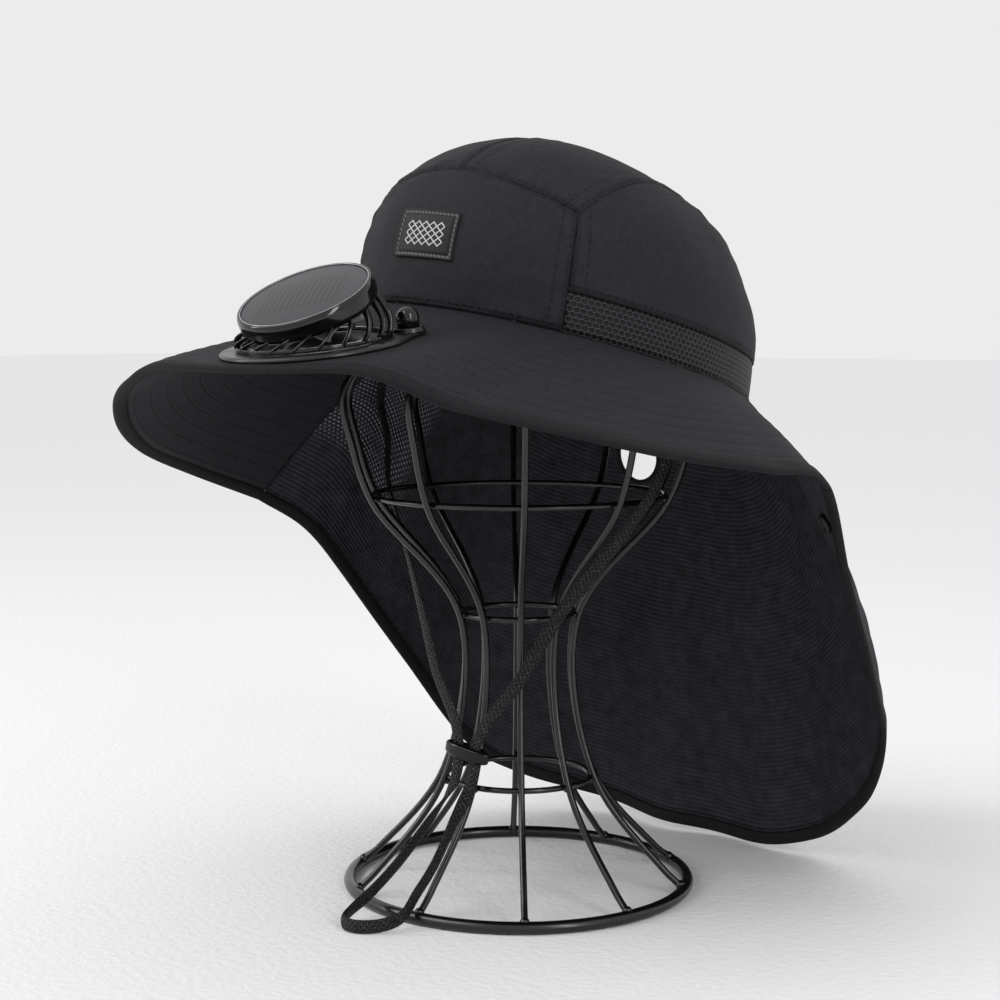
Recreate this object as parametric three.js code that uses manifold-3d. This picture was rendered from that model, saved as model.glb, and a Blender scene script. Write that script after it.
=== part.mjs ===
// Solar fan sun hat on a wire hat stand.
// Millimetres, +Z up. The hat's front faces -Y and the wearer's left is +X.

import * as THREE from 'three';
import { mergeVertices } from 'three/addons/utils/BufferGeometryUtils.js';
import Module from 'manifold-3d';

const wasm = await Module();
wasm.setup();

// Clearances
const SEAM_GAP = 0.4; // between two pieces of cloth along a seam
const SEAT_GAP = 0.3; // between a piece and what carries it
const CLOTH_SAG = 0.15; // of a curved cloth's facets from its true surface

// Stand
const BASE_RING_RADIUS = 79.2;
const BASE_RING_WIRE = 5.6;
const RING_WIRE = 2.7;
const STAND_WIRE = 3.1;
const WIRE_COUNT = 10;
const FIRST_WIRE_AZIMUTH = 2;
const LOWER_RING_RADIUS = 33.6;
const LOWER_RING_HEIGHT = 51.5;
const LOWER_RING_LEAN = -22; // of the wires out from upright, where they pass the ring
const WAIST_RING_RADIUS = 25.4;
const WAIST_RING_HEIGHT = 128.2;
const WAIST_RING_LEAN = 14;
const UPPER_RING_RADIUS = 67.4;
const UPPER_RING_HEIGHT = 183.2;
const UPPER_RING_LEAN = 31;
const CAGE_RADIUS = 83.5; // where the wires stand widest
const CAGE_HEIGHT = 231;
const TOP_RING_CLEARANCE = 0.75; // under the crown's inner surface
const TOP_RING_RADIUS = 13;
const FOOT_ANGLE = 42; // of a wire's foot above the floor
const FOOT_LENGTH = 11.2; // of the straight foot
const WIRE_SPAN_STEPS = 2; // for each span of a wire's path

// The wires above the upper ring, as shares of the cage's radius and of the rise from its widest level to
// its top
const CAGE_PROFILE = [
  { radius: 0.955, rise: -0.22 },
  { radius: 1, rise: 0 },
  { radius: 0.8, rise: 0.24 },
  { radius: 0.56, rise: 0.68 },
];

// Crown, in its own tilted frame with the base ellipse at z = 0
const CROWN_HALF_WIDTH = 86.5;
const CROWN_HALF_LENGTH = 103.5;
const CROWN_HEIGHT = 92;
const CROWN_LEAN = 0.18; // forward shift of the top for each mm of height
const CROWN_WALL = 1.5;
const CROWN_SHOULDER = 3.1; // a larger power keeps the wall upright for longer
const CROWN_DOME = 0.57; // a smaller power makes the top fuller
const CROWN_PITCH = 13; // the front is up
const CROWN_ROLL = 6; // the wearer's right is up
const CROWN_SIDE_SHIFT = 13; // of the crown's base from the stand's axis, towards the wearer's left
const CROWN_BACK_SHIFT = 10.6;
const CROWN_SEAT_RISE = 15.6; // of the crown's base above the wires' widest level

// Crown seams: azimuth in degrees from the front, and height as a share of the crown's
const FRONT_SEAM_BASE = { azimuth: 40, height: 0 };
const FRONT_ARCH = [
  { azimuth: 0, height: 0.65 },
  { azimuth: 22, height: 0.61 },
  { azimuth: 41, height: 0.53 },
];
const SIDE_SEAM = [
  { azimuth: 41, height: 0.53 },
  { azimuth: 46, height: 0.62 },
  { azimuth: 55, height: 0.73 },
  { azimuth: 70, height: 0.82 },
  { azimuth: 90, height: 0.85 },
  { azimuth: 110, height: 0.79 },
  { azimuth: 128, height: 0.62 },
  { azimuth: 142, height: 0.40 },
  { azimuth: 148, height: 0.28 },
];
const SIDE_SEAM_FOOT_AZIMUTH = 152;
const BAND_WIDTH = 17;

// Brim and neck flap
const BRIM_WIDTH = 105;
const BRIM_THICKNESS = 2;
const FLAP_LENGTH = 220;
const FLAP_THICKNESS = 1.2;
const BINDING_WIDTH = 6;
const BINDING_THICKNESS = 2.8;
const END_SEAM_AZIMUTH = 90;
const BINDING_END = 0.25; // degrees between the end seam and the flap's binding
const BRIM_SPAN = { start: -END_SEAM_AZIMUTH, end: END_SEAM_AZIMUTH, steps: 32 };
const FLAP_BINDING_SPAN = {
  start: END_SEAM_AZIMUTH + BINDING_END,
  end: 360 - END_SEAM_AZIMUTH - BINDING_END,
  steps: 30,
};
const CLOTH_ROWS = 6;
const BINDING_ROWS = 1;
const BRIM_DROOP = 1.25; // a larger power keeps the brim level for longer
const FLAP_SHOULDER = 2.2; // a larger power turns the flap down sooner
const FLAP_TURN = 50; // degrees in which the brim's form goes over into the flap's
const FLAP_FOLDS = 7;
const FLAP_FOLD_DEPTH = 3;
const FLAP_SEAM_AZIMUTH = 135;
const FLAP_PANELS = [
  { name: 'neck_flap_left', start: END_SEAM_AZIMUTH, end: FLAP_SEAM_AZIMUTH, steps: 8 },
  { name: 'neck_flap_back_left', start: FLAP_SEAM_AZIMUTH, end: 180, steps: 7 },
  { name: 'neck_flap_back_right', start: 180, end: 360 - FLAP_SEAM_AZIMUTH, steps: 7 },
  { name: 'neck_flap_right', start: 360 - FLAP_SEAM_AZIMUTH, end: 360 - END_SEAM_AZIMUTH, steps: 8 },
];

// The free edge, once round the hat. "at" is the place on the crown's base and "edge" the azimuth of the
// edge itself, in degrees. "run" and "fall" are shares of the brim's width, and "hang" of the flap's length.
const FREE_EDGE = [
  { at: -90, edge: -77, run: 0.68, fall: 0.80, hang: 0 },
  { at: -74, edge: -63, run: 0.84, fall: 0.69, hang: 0 },
  { at: -60, edge: -52, run: 0.95, fall: 0.60, hang: 0 },
  { at: -47, edge: -42, run: 1.01, fall: 0.49, hang: 0 },
  { at: -36, edge: -33, run: 1.03, fall: 0.37, hang: 0 },
  { at: -22, edge: -21, run: 1.02, fall: 0.28, hang: 0 },
  { at: 0, edge: 0, run: 1.02, fall: 0.25, hang: 0 },
  { at: 20, edge: 20, run: 1.00, fall: 0.28, hang: 0 },
  { at: 38, edge: 36, run: 0.95, fall: 0.34, hang: 0 },
  { at: 55, edge: 51, run: 0.88, fall: 0.39, hang: 0 },
  { at: 72, edge: 65, run: 0.815, fall: 0.40, hang: 0 },
  { at: 90, edge: 80, run: 0.685, fall: 0.43, hang: 0 },
  { at: 100, edge: 93, run: 0.58, fall: 0.43, hang: 0.17 },
  { at: 112, edge: 108, run: 0.605, fall: 0.40, hang: 0.42 },
  { at: 122, edge: 116, run: 0.595, fall: 0.30, hang: 0.57 },
  { at: 132, edge: 124, run: 0.57, fall: 0.15, hang: 0.785 },
  { at: 145, edge: 136, run: 0.42, fall: 0, hang: 0.95 },
  { at: 160, edge: 150, run: 0.28, fall: 0, hang: 0.995 },
  { at: 180, edge: 177, run: 0.13, fall: 0, hang: 0.995 },
  { at: 200, edge: 206, run: 0.30, fall: 0, hang: 1.00 },
  { at: 215, edge: 227, run: 0.41, fall: 0, hang: 0.975 },
  { at: 226, edge: 237, run: 0.45, fall: 0.10, hang: 0.88 },
  { at: 238, edge: 252, run: 0.48, fall: 0.30, hang: 0.59 },
  { at: 250, edge: 267, run: 0.48, fall: 0.51, hang: 0.305 },
  { at: 260, edge: 277, run: 0.52, fall: 0.70, hang: 0.11 },
  { at: 270, edge: 283, run: 0.68, fall: 0.80, hang: 0 },
];

// Ponytail opening in the flap, as a place on the crown's base and a distance below it
const OPENING_AZIMUTH = 191;
const OPENING_FALL = 30;
const OPENING_WIDTH = 22;
const OPENING_HEIGHT = 26;
const OPENING_SIDES = 20;

// Snap on the inner face of the flap's near front corner
const SNAP_RADIUS = 4.5;
const SNAP_HEIGHT = 1.8;
const SNAP_AZIMUTH = 97;
const SNAP_SHARE = 0.86;

// Patch on the front panel
const PATCH_WIDTH = 32;
const PATCH_HEIGHT = 21;
const PATCH_THICKNESS = 1.4;
const PATCH_MIDDLE_HEIGHT = 29; // above the crown's base
const PATCH_AZIMUTH = -2;

// Fan unit. Its frame lies on the brim: z is the axis of the hole, -y the front.
const FAN_EDGE_GAP = 0.45; // seen from above, from the flange to the brim's binding
const FAN_FALL = 0.169; // of its place below the crown's front edge, as a share of the brim's width
const FAN_TILT = 9; // forward
const FAN_FLAT_RADIUS = 52; // the brim is flat under the flange out to here
const FAN_BLEND = 34;
const FAN_ROOT_SHARE = 0.14; // the share of the brim's width that rises from the flat to the crown
const FLANGE_RADIUS = 37.5;
const FLANGE_THICKNESS = 1.8;
const FLANGE_LOBE = 9;
const FLANGE_LOBE_AZIMUTH = 150;
const FLANGE_LOBE_SPREAD = 17;
const FLANGE_SIDES = 36;
const BRIM_HOLE_RADIUS = 27.4;
const SLEEVE_WALL = 1.2;
const SLEEVE_DEPTH = 5.2; // below the brim's upper face
const GRILLE_RIM_RADIUS = 31;
const GRILLE_RIM_THICKNESS = 1.5;
const GRILLE_SPOKES = 6;
const GRILLE_SPOKE_WIDTH = 1.6;
const GRILLE_HUB_RADIUS = 6;
const FAN_SIDES = 24; // of its round pieces

// Solar housing, glass, vanes and rotor. The housing's frame is at the middle of its top, tilted again.
const HOUSING_PLACE = new THREE.Vector3(0, -3, 22); // in the fan's frame
const HOUSING_TILT = 19;
const HOUSING_RADIUS = 28;
const HOUSING_DEPTH = 6.5;
const HOUSING_ROUND = 2.2;
const GLASS_RADIUS = 24.6;
const GLASS_THICKNESS = 1;
const GLASS_DOME = 0.7;
const GLASS_SINK = 0.5;
const MOTOR_RADIUS = 7;
const MOTOR_DEPTH = 2;
const ROTOR_RADIUS = 21.5;
const ROTOR_HUB_RADIUS = 7.5;
const ROTOR_DEPTH = 6;
const ROTOR_BLADES = 7;
const BLADE_THICKNESS = 1;
const BLADE_ROOT = 1.5; // of a blade inside the hub
const BLADE_ROOT_PITCH = 47;
const BLADE_TIP_PITCH = 30;
const BLADE_CAMBER = 0.12; // radians round the axis
const BLADE_SWEEP = 0.36; // radians round the axis from root to tip
const VANE_COUNT = 20;
const VANE_THICKNESS = 1;
const VANE_DEPTH = 2.4;
const VANE_BULGE = 3.2;
const VANE_BULGE_RISE = 8; // of a vane that takes the whole bulge
const VANE_ARCH = 0.8; // a smaller power arches a vane lower down
const VANE_LEAN = 16; // degrees round the axis from foot to head
const CAGE_RING_RADIUS = 29.6;
const CAGE_RING_WIDTH = 2.4;
const CAGE_RING_HEIGHT = 1.6;
const BUTTON_RADIUS = 4.6;
const BUTTON_HEIGHT = 8.5;
const BUTTON_TRAVEL = 1;
const BUTTON_DISTANCE = 38;
const BUTTON_AZIMUTH = 142;
const BUTTON_COLLAR_WALL = 1.2;
const BUTTON_COLLAR_HEIGHT = 1.6;

// Chin strap
const STRAP_WIDTH = 6;
const STRAP_THICKNESS = 1.8;
const STRAP_SPAN_STEPS = 2; // for each span of its route
const SLIDER_PLACE = new THREE.Vector3(0, -39.6, 69);
const SLIDER_LENGTH = 24;
const SLIDER_HEIGHT = 6.5;
const SLIDER_DEPTH = 8;
const SLIDER_SLOT_SPACING = 9.6;
const SLIDER_TILT = 10; // its left end down
const SLOT_PLAY = 2;

// The strap's route, chosen by hand: from the crown's left side down to the slider, the loose loop below the
// slider, and from the slider up to the crown's right side
const STRAP_LEFT = [
  [96, 7, 236],
  [91, 3, 222],
  [83.5, -4, 203],
  [76, -7.5, 186],
  [55, -12, 158],
  [34, -17, 131],
  [20, -28, 101],
  [8.5, -36.5, 82],
];
const STRAP_LOOP = [
  [4.8, -43, 55],
  [4.5, -56, 40],
  [3.5, -68, 24],
  [1.5, -78, 13],
  [2, -89, 5.6],
  [-2, -99, 3.6],
  [-10, -105.5, 3.5],
  [-18.5, -104, 3.6],
  [-22, -95.5, 5.2],
  [-20.5, -83, 11],
  [-15, -70, 23],
  [-8.5, -56, 40],
  [-5, -43, 55],
];
const STRAP_RIGHT = [
  [-8.5, -37.5, 82],
  [-24, -31, 101],
  [-37, -25, 126],
  [-50, -19, 150],
  [-64, -11, 170],
  [-75.5, -4, 187],
  [-81.5, 3, 205],
  [-87.5, 5, 226],
  [-84, 7, 240],
  [-74, 8.5, 248],
];

// The loop stands on its edge round this place on the floor
const LOOP_MIDDLE = new THREE.Vector3(-9.5, -88, 0);
const LOOP_TURN = 30; // the fall in which the strap twists onto its edge
const LOOP_TIP = 4; // how far in front of the middle's line the tip starts

// Finishes
const CLOTH = { color: 0x24262a, roughness: 0.88, metalness: 0 };
const MESH_CLOTH = { color: 0x17181a, roughness: 0.95, metalness: 0 };
const GLOSS = { color: 0x0b0b0c, roughness: 0.22, metalness: 0 };
const SATIN = { color: 0x151618, roughness: 0.5, metalness: 0 };
const GLASS = { color: 0x10141a, roughness: 0.12, metalness: 0.1 };
const BLADE = { color: 0x3a3c40, roughness: 0.35, metalness: 0 };
const STEEL = { color: 0x0f1011, roughness: 0.38, metalness: 0.3 };
const RUBBER = { color: 0x1d1e20, roughness: 0.6, metalness: 0 };

const UP = new THREE.Vector3(0, 0, 1);
const crownPlace = new THREE.Vector3(CROWN_SIDE_SHIFT, CROWN_BACK_SHIFT, CAGE_HEIGHT + CROWN_SEAT_RISE);

function vector(x, y, z) {
  return new THREE.Vector3(x, y, z);
}

function degrees(angle) {
  return THREE.MathUtils.degToRad(angle);
}

// A horizontal direction at an azimuth counted from the front towards the wearer's left
function heading(azimuth) {
  const angle = degrees(azimuth);
  return vector(Math.sin(angle), -Math.cos(angle), 0);
}

function mix(a, b, share) {
  return a + (b - a) * share;
}

function spread(start, end, steps) {
  return Array.from({ length: steps + 1 }, (_, index) => mix(start, end, index / steps));
}

function smooth(value) {
  const share = THREE.MathUtils.clamp(value, 0, 1);
  return share * share * (3 - 2 * share);
}

// A smooth reading of a table's column at a value of its key column
function readTable(rows, key, column, value) {
  let index = rows.findIndex((row) => row[key] >= value);
  if (index < 0) index = rows.length - 1;
  index = Math.max(index, 1);
  const before = rows[Math.max(index - 2, 0)];
  const low = rows[index - 1];
  const high = rows[index];
  const after = rows[Math.min(index + 1, rows.length - 1)];
  const width = high[key] - low[key];
  const share = (value - low[key]) / width;
  const slopeLow = (high[column] - before[column]) / Math.max(high[key] - before[key], 1) * width;
  const slopeHigh = (after[column] - low[column]) / Math.max(after[key] - low[key], 1) * width;
  const square = share * share;
  const cube = square * share;
  return (2 * cube - 3 * square + 1) * low[column] + (cube - 2 * square + share) * slopeLow
    + (3 * square - 2 * cube) * high[column] + (cube - square) * slopeHigh;
}

function standard(finish) {
  return new THREE.MeshStandardMaterial(finish);
}

function mesh(name, geometry, finish) {
  const part = new THREE.Mesh(geometry, standard(finish));
  part.name = name;
  return part;
}

// A closed geometry from vertices and triangles, turned so that its faces point out
function closedGeometry(points, triangles) {
  let volume = 0;
  const cross = vector(0, 0, 0);
  for (const [a, b, c] of triangles) {
    volume += points[a].dot(cross.crossVectors(points[b], points[c]));
  }
  const geometry = new THREE.BufferGeometry();
  const coordinates = points.flatMap((point) => point.toArray());
  geometry.setAttribute('position', new THREE.Float32BufferAttribute(coordinates, 3));
  geometry.setIndex(triangles.flatMap(([a, b, c]) => (volume > 0 ? [a, b, c] : [a, c, b])));
  return geometry;
}

function gridNormals(grid) {
  const last = grid.length - 1;
  const end = grid[0].length - 1;
  return grid.map((row, i) => row.map((_, j) => {
    const along = grid[Math.min(i + 1, last)][j].clone().sub(grid[Math.max(i - 1, 0)][j]);
    const across = grid[i][Math.min(j + 1, end)].clone().sub(grid[i][Math.max(j - 1, 0)]);
    return along.cross(across).normalize();
  }));
}

// A wall of even thickness over a grid of points, reaching "above" and "below" it along its normals
function wallGeometry(grid, above, below, normals = gridNormals(grid)) {
  const columns = grid[0].length;
  const rows = grid.length;
  const points = [];
  for (const offset of [above, -below]) {
    grid.forEach((row, i) => row.forEach((point, j) => {
      points.push(point.clone().addScaledVector(normals[i][j], offset));
    }));
  }
  const top = (i, j) => i * columns + j;
  const bottom = (i, j) => rows * columns + i * columns + j;
  const triangles = [];
  const quad = (a, b, c, d) => triangles.push([a, b, c], [a, c, d]);
  for (let i = 0; i < rows - 1; i += 1) {
    for (let j = 0; j < columns - 1; j += 1) {
      quad(top(i, j), top(i + 1, j), top(i + 1, j + 1), top(i, j + 1));
      quad(bottom(i, j), bottom(i, j + 1), bottom(i + 1, j + 1), bottom(i + 1, j));
    }
    quad(top(i, 0), bottom(i, 0), bottom(i + 1, 0), top(i + 1, 0));
    quad(top(i, columns - 1), top(i + 1, columns - 1), bottom(i + 1, columns - 1), bottom(i, columns - 1));
  }
  for (let j = 0; j < columns - 1; j += 1) {
    quad(top(0, j), top(0, j + 1), bottom(0, j + 1), bottom(0, j));
    quad(top(rows - 1, j), bottom(rows - 1, j), bottom(rows - 1, j + 1), top(rows - 1, j + 1));
  }
  return closedGeometry(points, triangles);
}

// Draws a grid's border in by half a seam's gap, square to the border
function insetGrid(grid, distance) {
  const last = grid.length - 1;
  const end = grid[0].length - 1;
  const step = (from, to, before, after) => {
    const border = after.clone().sub(before).normalize();
    const inward = to.clone().sub(from);
    return inward.addScaledVector(border, -inward.dot(border)).setLength(distance);
  };
  return grid.map((row, i) => row.map((point, j) => {
    const moved = point.clone();
    const rowBefore = row[Math.max(j - 1, 0)];
    const rowAfter = row[Math.min(j + 1, end)];
    const before = grid[Math.max(i - 1, 0)][j];
    const after = grid[Math.min(i + 1, last)][j];
    if (i === 0) moved.add(step(point, grid[1][j], rowBefore, rowAfter));
    if (i === last) moved.add(step(point, grid[last - 1][j], rowBefore, rowAfter));
    if (j === 0) moved.add(step(point, row[1], before, after));
    if (j === end) moved.add(step(point, row[end - 1], before, after));
    return moved;
  }));
}

// Solids for joining and cutting
function toSolid(geometry) {
  const bare = geometry.clone();
  bare.deleteAttribute('normal');
  bare.deleteAttribute('uv');
  const merged = mergeVertices(bare, 1e-4);
  return new wasm.Manifold(new wasm.Mesh({
    numProp: 3,
    vertProperties: new Float32Array(merged.attributes.position.array),
    triVerts: new Uint32Array(merged.index.array),
  }));
}

function toGeometry(solid) {
  const { vertProperties, triVerts } = solid.getMesh();
  const geometry = new THREE.BufferGeometry();
  geometry.setAttribute('position', new THREE.BufferAttribute(new Float32Array(vertProperties), 3));
  geometry.setIndex(new THREE.BufferAttribute(new Uint32Array(triVerts), 1));
  return geometry;
}

function joined(geometries) {
  return toGeometry(geometries.map(toSolid).reduce((whole, piece) => whole.add(piece)));
}

function cut(geometry, tools) {
  return toGeometry(tools.map(toSolid).reduce((whole, tool) => whole.subtract(tool), toSolid(geometry)));
}

// An upright cylinder between two heights
function cylinder(radius, low, high, sides) {
  const geometry = new THREE.CylinderGeometry(radius, radius, high - low, sides);
  return geometry.rotateX(Math.PI / 2).translate(0, 0, (low + high) / 2);
}

// A solid of revolution about Z from a closed profile of [radius, height] pairs
function turned(profile, sides) {
  const outline = [...profile, profile[0]].map(([radius, height]) => new THREE.Vector2(radius, height));
  return new THREE.LatheGeometry(outline, sides).rotateX(Math.PI / 2);
}

// A solid of revolution about Z from a profile of [radius, height] pairs that starts and ends on the axis
function turnedOnAxis(profile, sides) {
  const outline = profile.map(([radius, height]) => new THREE.Vector2(radius, height));
  return new THREE.LatheGeometry(outline, sides).rotateX(Math.PI / 2);
}

function polygonShape(width, height, sides) {
  const shape = new THREE.Shape();
  for (let index = 0; index < sides; index += 1) {
    const angle = index / sides * 2 * Math.PI;
    const x = Math.cos(angle) * width / 2;
    const y = Math.sin(angle) * height / 2;
    if (index === 0) shape.moveTo(x, y);
    else shape.lineTo(x, y);
  }
  shape.closePath();
  return shape;
}

// A path whose steps fall on the points that it is given
class SteppedPath extends THREE.CatmullRomCurve3 {
  getUtoTmapping(share) {
    return share;
  }
}

// The stand

// The height of the stand's top ring, just below the crown that it carries
function standTop() {
  const reach = TOP_RING_RADIUS + RING_WIRE / 2;
  const heights = spread(0, 360, 12).map((azimuth) => crownUnderside(heading(azimuth).multiplyScalar(reach)));
  return Math.min(...heights) - TOP_RING_CLEARANCE - RING_WIRE / 2;
}

function standWirePath(top) {
  const reach = (RING_WIRE + STAND_WIRE) / 2 + SEAT_GAP;
  const foot = BASE_RING_WIRE / 2 + SEAT_GAP;
  const slope = degrees(FOOT_ANGLE);
  const beside = (radius, height, lean) => vector(
    radius + Math.cos(degrees(lean)) * reach, 0, height - Math.sin(degrees(lean)) * reach,
  );
  const footPoint = (distance) => vector(
    BASE_RING_RADIUS - Math.cos(slope) * distance, 0, BASE_RING_WIRE / 2 + Math.sin(slope) * distance,
  );
  return new SteppedPath([
    footPoint(foot),
    footPoint(foot + FOOT_LENGTH),
    beside(LOWER_RING_RADIUS, LOWER_RING_HEIGHT, LOWER_RING_LEAN),
    beside(WAIST_RING_RADIUS, WAIST_RING_HEIGHT, WAIST_RING_LEAN),
    beside(UPPER_RING_RADIUS, UPPER_RING_HEIGHT, UPPER_RING_LEAN),
    ...CAGE_PROFILE.map(({ radius, rise }) => vector(CAGE_RADIUS * radius, 0, mix(CAGE_HEIGHT, top, rise))),
    vector(TOP_RING_RADIUS + RING_WIRE / 2 + 2 * SEAT_GAP, 0, top),
  ]);
}

function standWire(index, path) {
  const geometry = new THREE.ExtrudeGeometry(polygonShape(STAND_WIRE, STAND_WIRE, 6), {
    steps: (path.points.length - 1) * WIRE_SPAN_STEPS, bevelEnabled: false, extrudePath: path,
  });
  const wire = mesh(`stand_wire_${index + 1}`, geometry, STEEL);
  wire.rotation.z = degrees(FIRST_WIRE_AZIMUTH - 90 + index * 360 / WIRE_COUNT);
  return wire;
}

// A ring of round wire whose section has a flat face underneath
function wireRing(name, radius, height, wire, sides, steps) {
  const profile = Array.from({ length: sides }, (_, index) => {
    const angle = (index + 0.5) / sides * 2 * Math.PI;
    const section = wire / 2 / Math.cos(Math.PI / sides);
    return [radius + Math.sin(angle) * section, height - Math.cos(angle) * section];
  });
  return mesh(name, turned(profile, steps), STEEL);
}

function stand() {
  const group = new THREE.Group();
  const top = standTop();
  const path = standWirePath(top);
  group.add(
    wireRing('stand_base_ring', BASE_RING_RADIUS, BASE_RING_WIRE / 2, BASE_RING_WIRE, 8, 30),
    wireRing('stand_lower_ring', LOWER_RING_RADIUS, LOWER_RING_HEIGHT, RING_WIRE, 6, 20),
    wireRing('stand_waist_ring', WAIST_RING_RADIUS, WAIST_RING_HEIGHT, RING_WIRE, 6, 20),
    wireRing('stand_upper_ring', UPPER_RING_RADIUS, UPPER_RING_HEIGHT, RING_WIRE, 6, 30),
    wireRing('stand_top_ring', TOP_RING_RADIUS, top, RING_WIRE, 6, 12),
  );
  for (let index = 0; index < WIRE_COUNT; index += 1) group.add(standWire(index, path));
  return group;
}

// The crown

const crownFrame = new THREE.Matrix4().compose(
  crownPlace,
  new THREE.Quaternion().setFromEuler(new THREE.Euler(-degrees(CROWN_PITCH), degrees(CROWN_ROLL), 0, 'YXZ')),
  vector(1, 1, 1),
);

function crownRadiusShare(height) {
  return Math.pow(Math.max(1 - Math.pow(height, CROWN_SHOULDER), 0), CROWN_DOME);
}

// The crown's profile from base to top, with the share of its length at each height
const crownProfile = (() => {
  const mean = (CROWN_HALF_WIDTH + CROWN_HALF_LENGTH) / 2;
  const rows = spread(0, 90, 60).map((angle) => ({ height: Math.sin(degrees(angle)), length: 0 }));
  for (let index = 1; index < rows.length; index += 1) {
    const low = rows[index - 1];
    const high = rows[index];
    const inward = (crownRadiusShare(low.height) - crownRadiusShare(high.height)) * mean;
    high.length = low.length + Math.hypot(inward, (high.height - low.height) * CROWN_HEIGHT);
  }
  const total = rows[rows.length - 1].length;
  return rows.map(({ height, length }) => ({ height, share: length / total }));
})();

function lookUp(rows, from, to, value) {
  const index = Math.max(rows.findIndex((row) => row[from] >= value), 1);
  const low = rows[index - 1];
  const high = rows[index];
  return mix(low[to], high[to], (value - low[from]) / (high[from] - low[from]));
}

// A flat chart of the crown: its top at the origin and its base on the unit circle
function chartPoint({ azimuth, height }) {
  const radius = 1 - lookUp(crownProfile, 'height', 'share', height);
  const direction = heading(azimuth);
  return new THREE.Vector2(direction.x * radius, direction.y * radius);
}

function crownPoint(chart) {
  const radius = Math.min(chart.length(), 1);
  const height = lookUp(crownProfile, 'share', 'height', 1 - radius);
  const reach = radius > 0 ? crownRadiusShare(height) / radius : 0;
  const rise = height * CROWN_HEIGHT;
  const across = chart.x * reach * CROWN_HALF_WIDTH;
  const along = chart.y * reach * CROWN_HALF_LENGTH - CROWN_LEAN * rise;
  return vector(across, along, rise);
}

// The way out of the crown's surface at a point on it
function crownNormal(point) {
  const x = point.x / CROWN_HALF_WIDTH;
  const y = (point.y + CROWN_LEAN * point.z) / CROWN_HALF_LENGTH;
  const radius = Math.max(Math.hypot(x, y), 0.01);
  const pull = Math.pow(radius, 1 / CROWN_DOME - 2) / CROWN_DOME;
  const height = Math.max(point.z / CROWN_HEIGHT, 0);
  const rise = Math.pow(height, CROWN_SHOULDER - 1) * CROWN_SHOULDER / CROWN_HEIGHT;
  const lean = pull * y / CROWN_HALF_LENGTH;
  return vector(pull * x / CROWN_HALF_WIDTH, lean, lean * CROWN_LEAN + rise).normalize();
}

// The height of the crown's inner surface above a place on the stand
function crownUnderside(place) {
  const toCrown = crownFrame.clone().invert();
  const local = vector(0, 0, 0);
  let low = crownPlace.z;
  let high = crownPlace.z + 2 * CROWN_HEIGHT;
  for (let step = 0; step < 30; step += 1) {
    const middle = (low + high) / 2;
    local.copy(place).setZ(middle).applyMatrix4(toCrown);
    const height = THREE.MathUtils.clamp(local.z / CROWN_HEIGHT, 0, 1);
    const across = local.x / CROWN_HALF_WIDTH;
    const along = (local.y + CROWN_LEAN * local.z) / CROWN_HALF_LENGTH;
    if (height < 1 && Math.hypot(across, along) < crownRadiusShare(height)) low = middle;
    else high = middle;
  }
  return low - CROWN_WALL / crownNormal(local).transformDirection(crownFrame).z;
}

function crownWall(name, grid, finish) {
  const inset = insetGrid(grid, SEAM_GAP / 2);
  const normals = inset.map((row) => row.map(crownNormal));
  return mesh(name, wallGeometry(inset, 0, CROWN_WALL, normals), finish);
}

function mirrored(points) {
  return points.map((point) => new THREE.Vector2(-point.x, point.y));
}

// Evenly spaced points along a seam that passes through a table's places
function seamPoints(places, steps) {
  const curve = new THREE.SplineCurve(places.map(chartPoint));
  return curve.getSpacedPoints(steps);
}

function arcPoints(start, end, height, steps) {
  return spread(start, end, steps).map((azimuth) => chartPoint({ azimuth, height }));
}

// Fills a patch between four border curves that meet at its corners
function patchGrid(bottom, top, left, right) {
  const columns = bottom.length - 1;
  const rows = left.length - 1;
  return bottom.map((_, i) => left.map((__, j) => {
    const u = i / columns;
    const v = j / rows;
    const point = new THREE.Vector2();
    point.addScaledVector(bottom[i], 1 - v).addScaledVector(top[i], v);
    point.addScaledVector(left[j], 1 - u).addScaledVector(right[j], u);
    point.addScaledVector(bottom[0], -(1 - u) * (1 - v)).addScaledVector(bottom[columns], -u * (1 - v));
    point.addScaledVector(top[0], -(1 - u) * v).addScaledVector(top[columns], -u * v);
    return point;
  }));
}

const bandTop = BAND_WIDTH / CROWN_HEIGHT;
const seamCorner = FRONT_ARCH[FRONT_ARCH.length - 1];
const seamRear = SIDE_SEAM[SIDE_SEAM.length - 1];
const sideFoot = { azimuth: SIDE_SEAM_FOOT_AZIMUTH, height: bandTop };
const bandFront = {
  azimuth: mix(FRONT_SEAM_BASE.azimuth, seamCorner.azimuth, bandTop / seamCorner.height),
  height: bandTop,
};
const frontSideSeam = [FRONT_SEAM_BASE, bandFront, seamCorner];

function crownPanel(name, borders) {
  return crownWall(name, patchGrid(...borders).map((row) => row.map(crownPoint)), CLOTH);
}

const ARCH_STEPS = 5;
const SEAM_STEPS = 10;
const FOOT_STEPS = 1;

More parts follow.
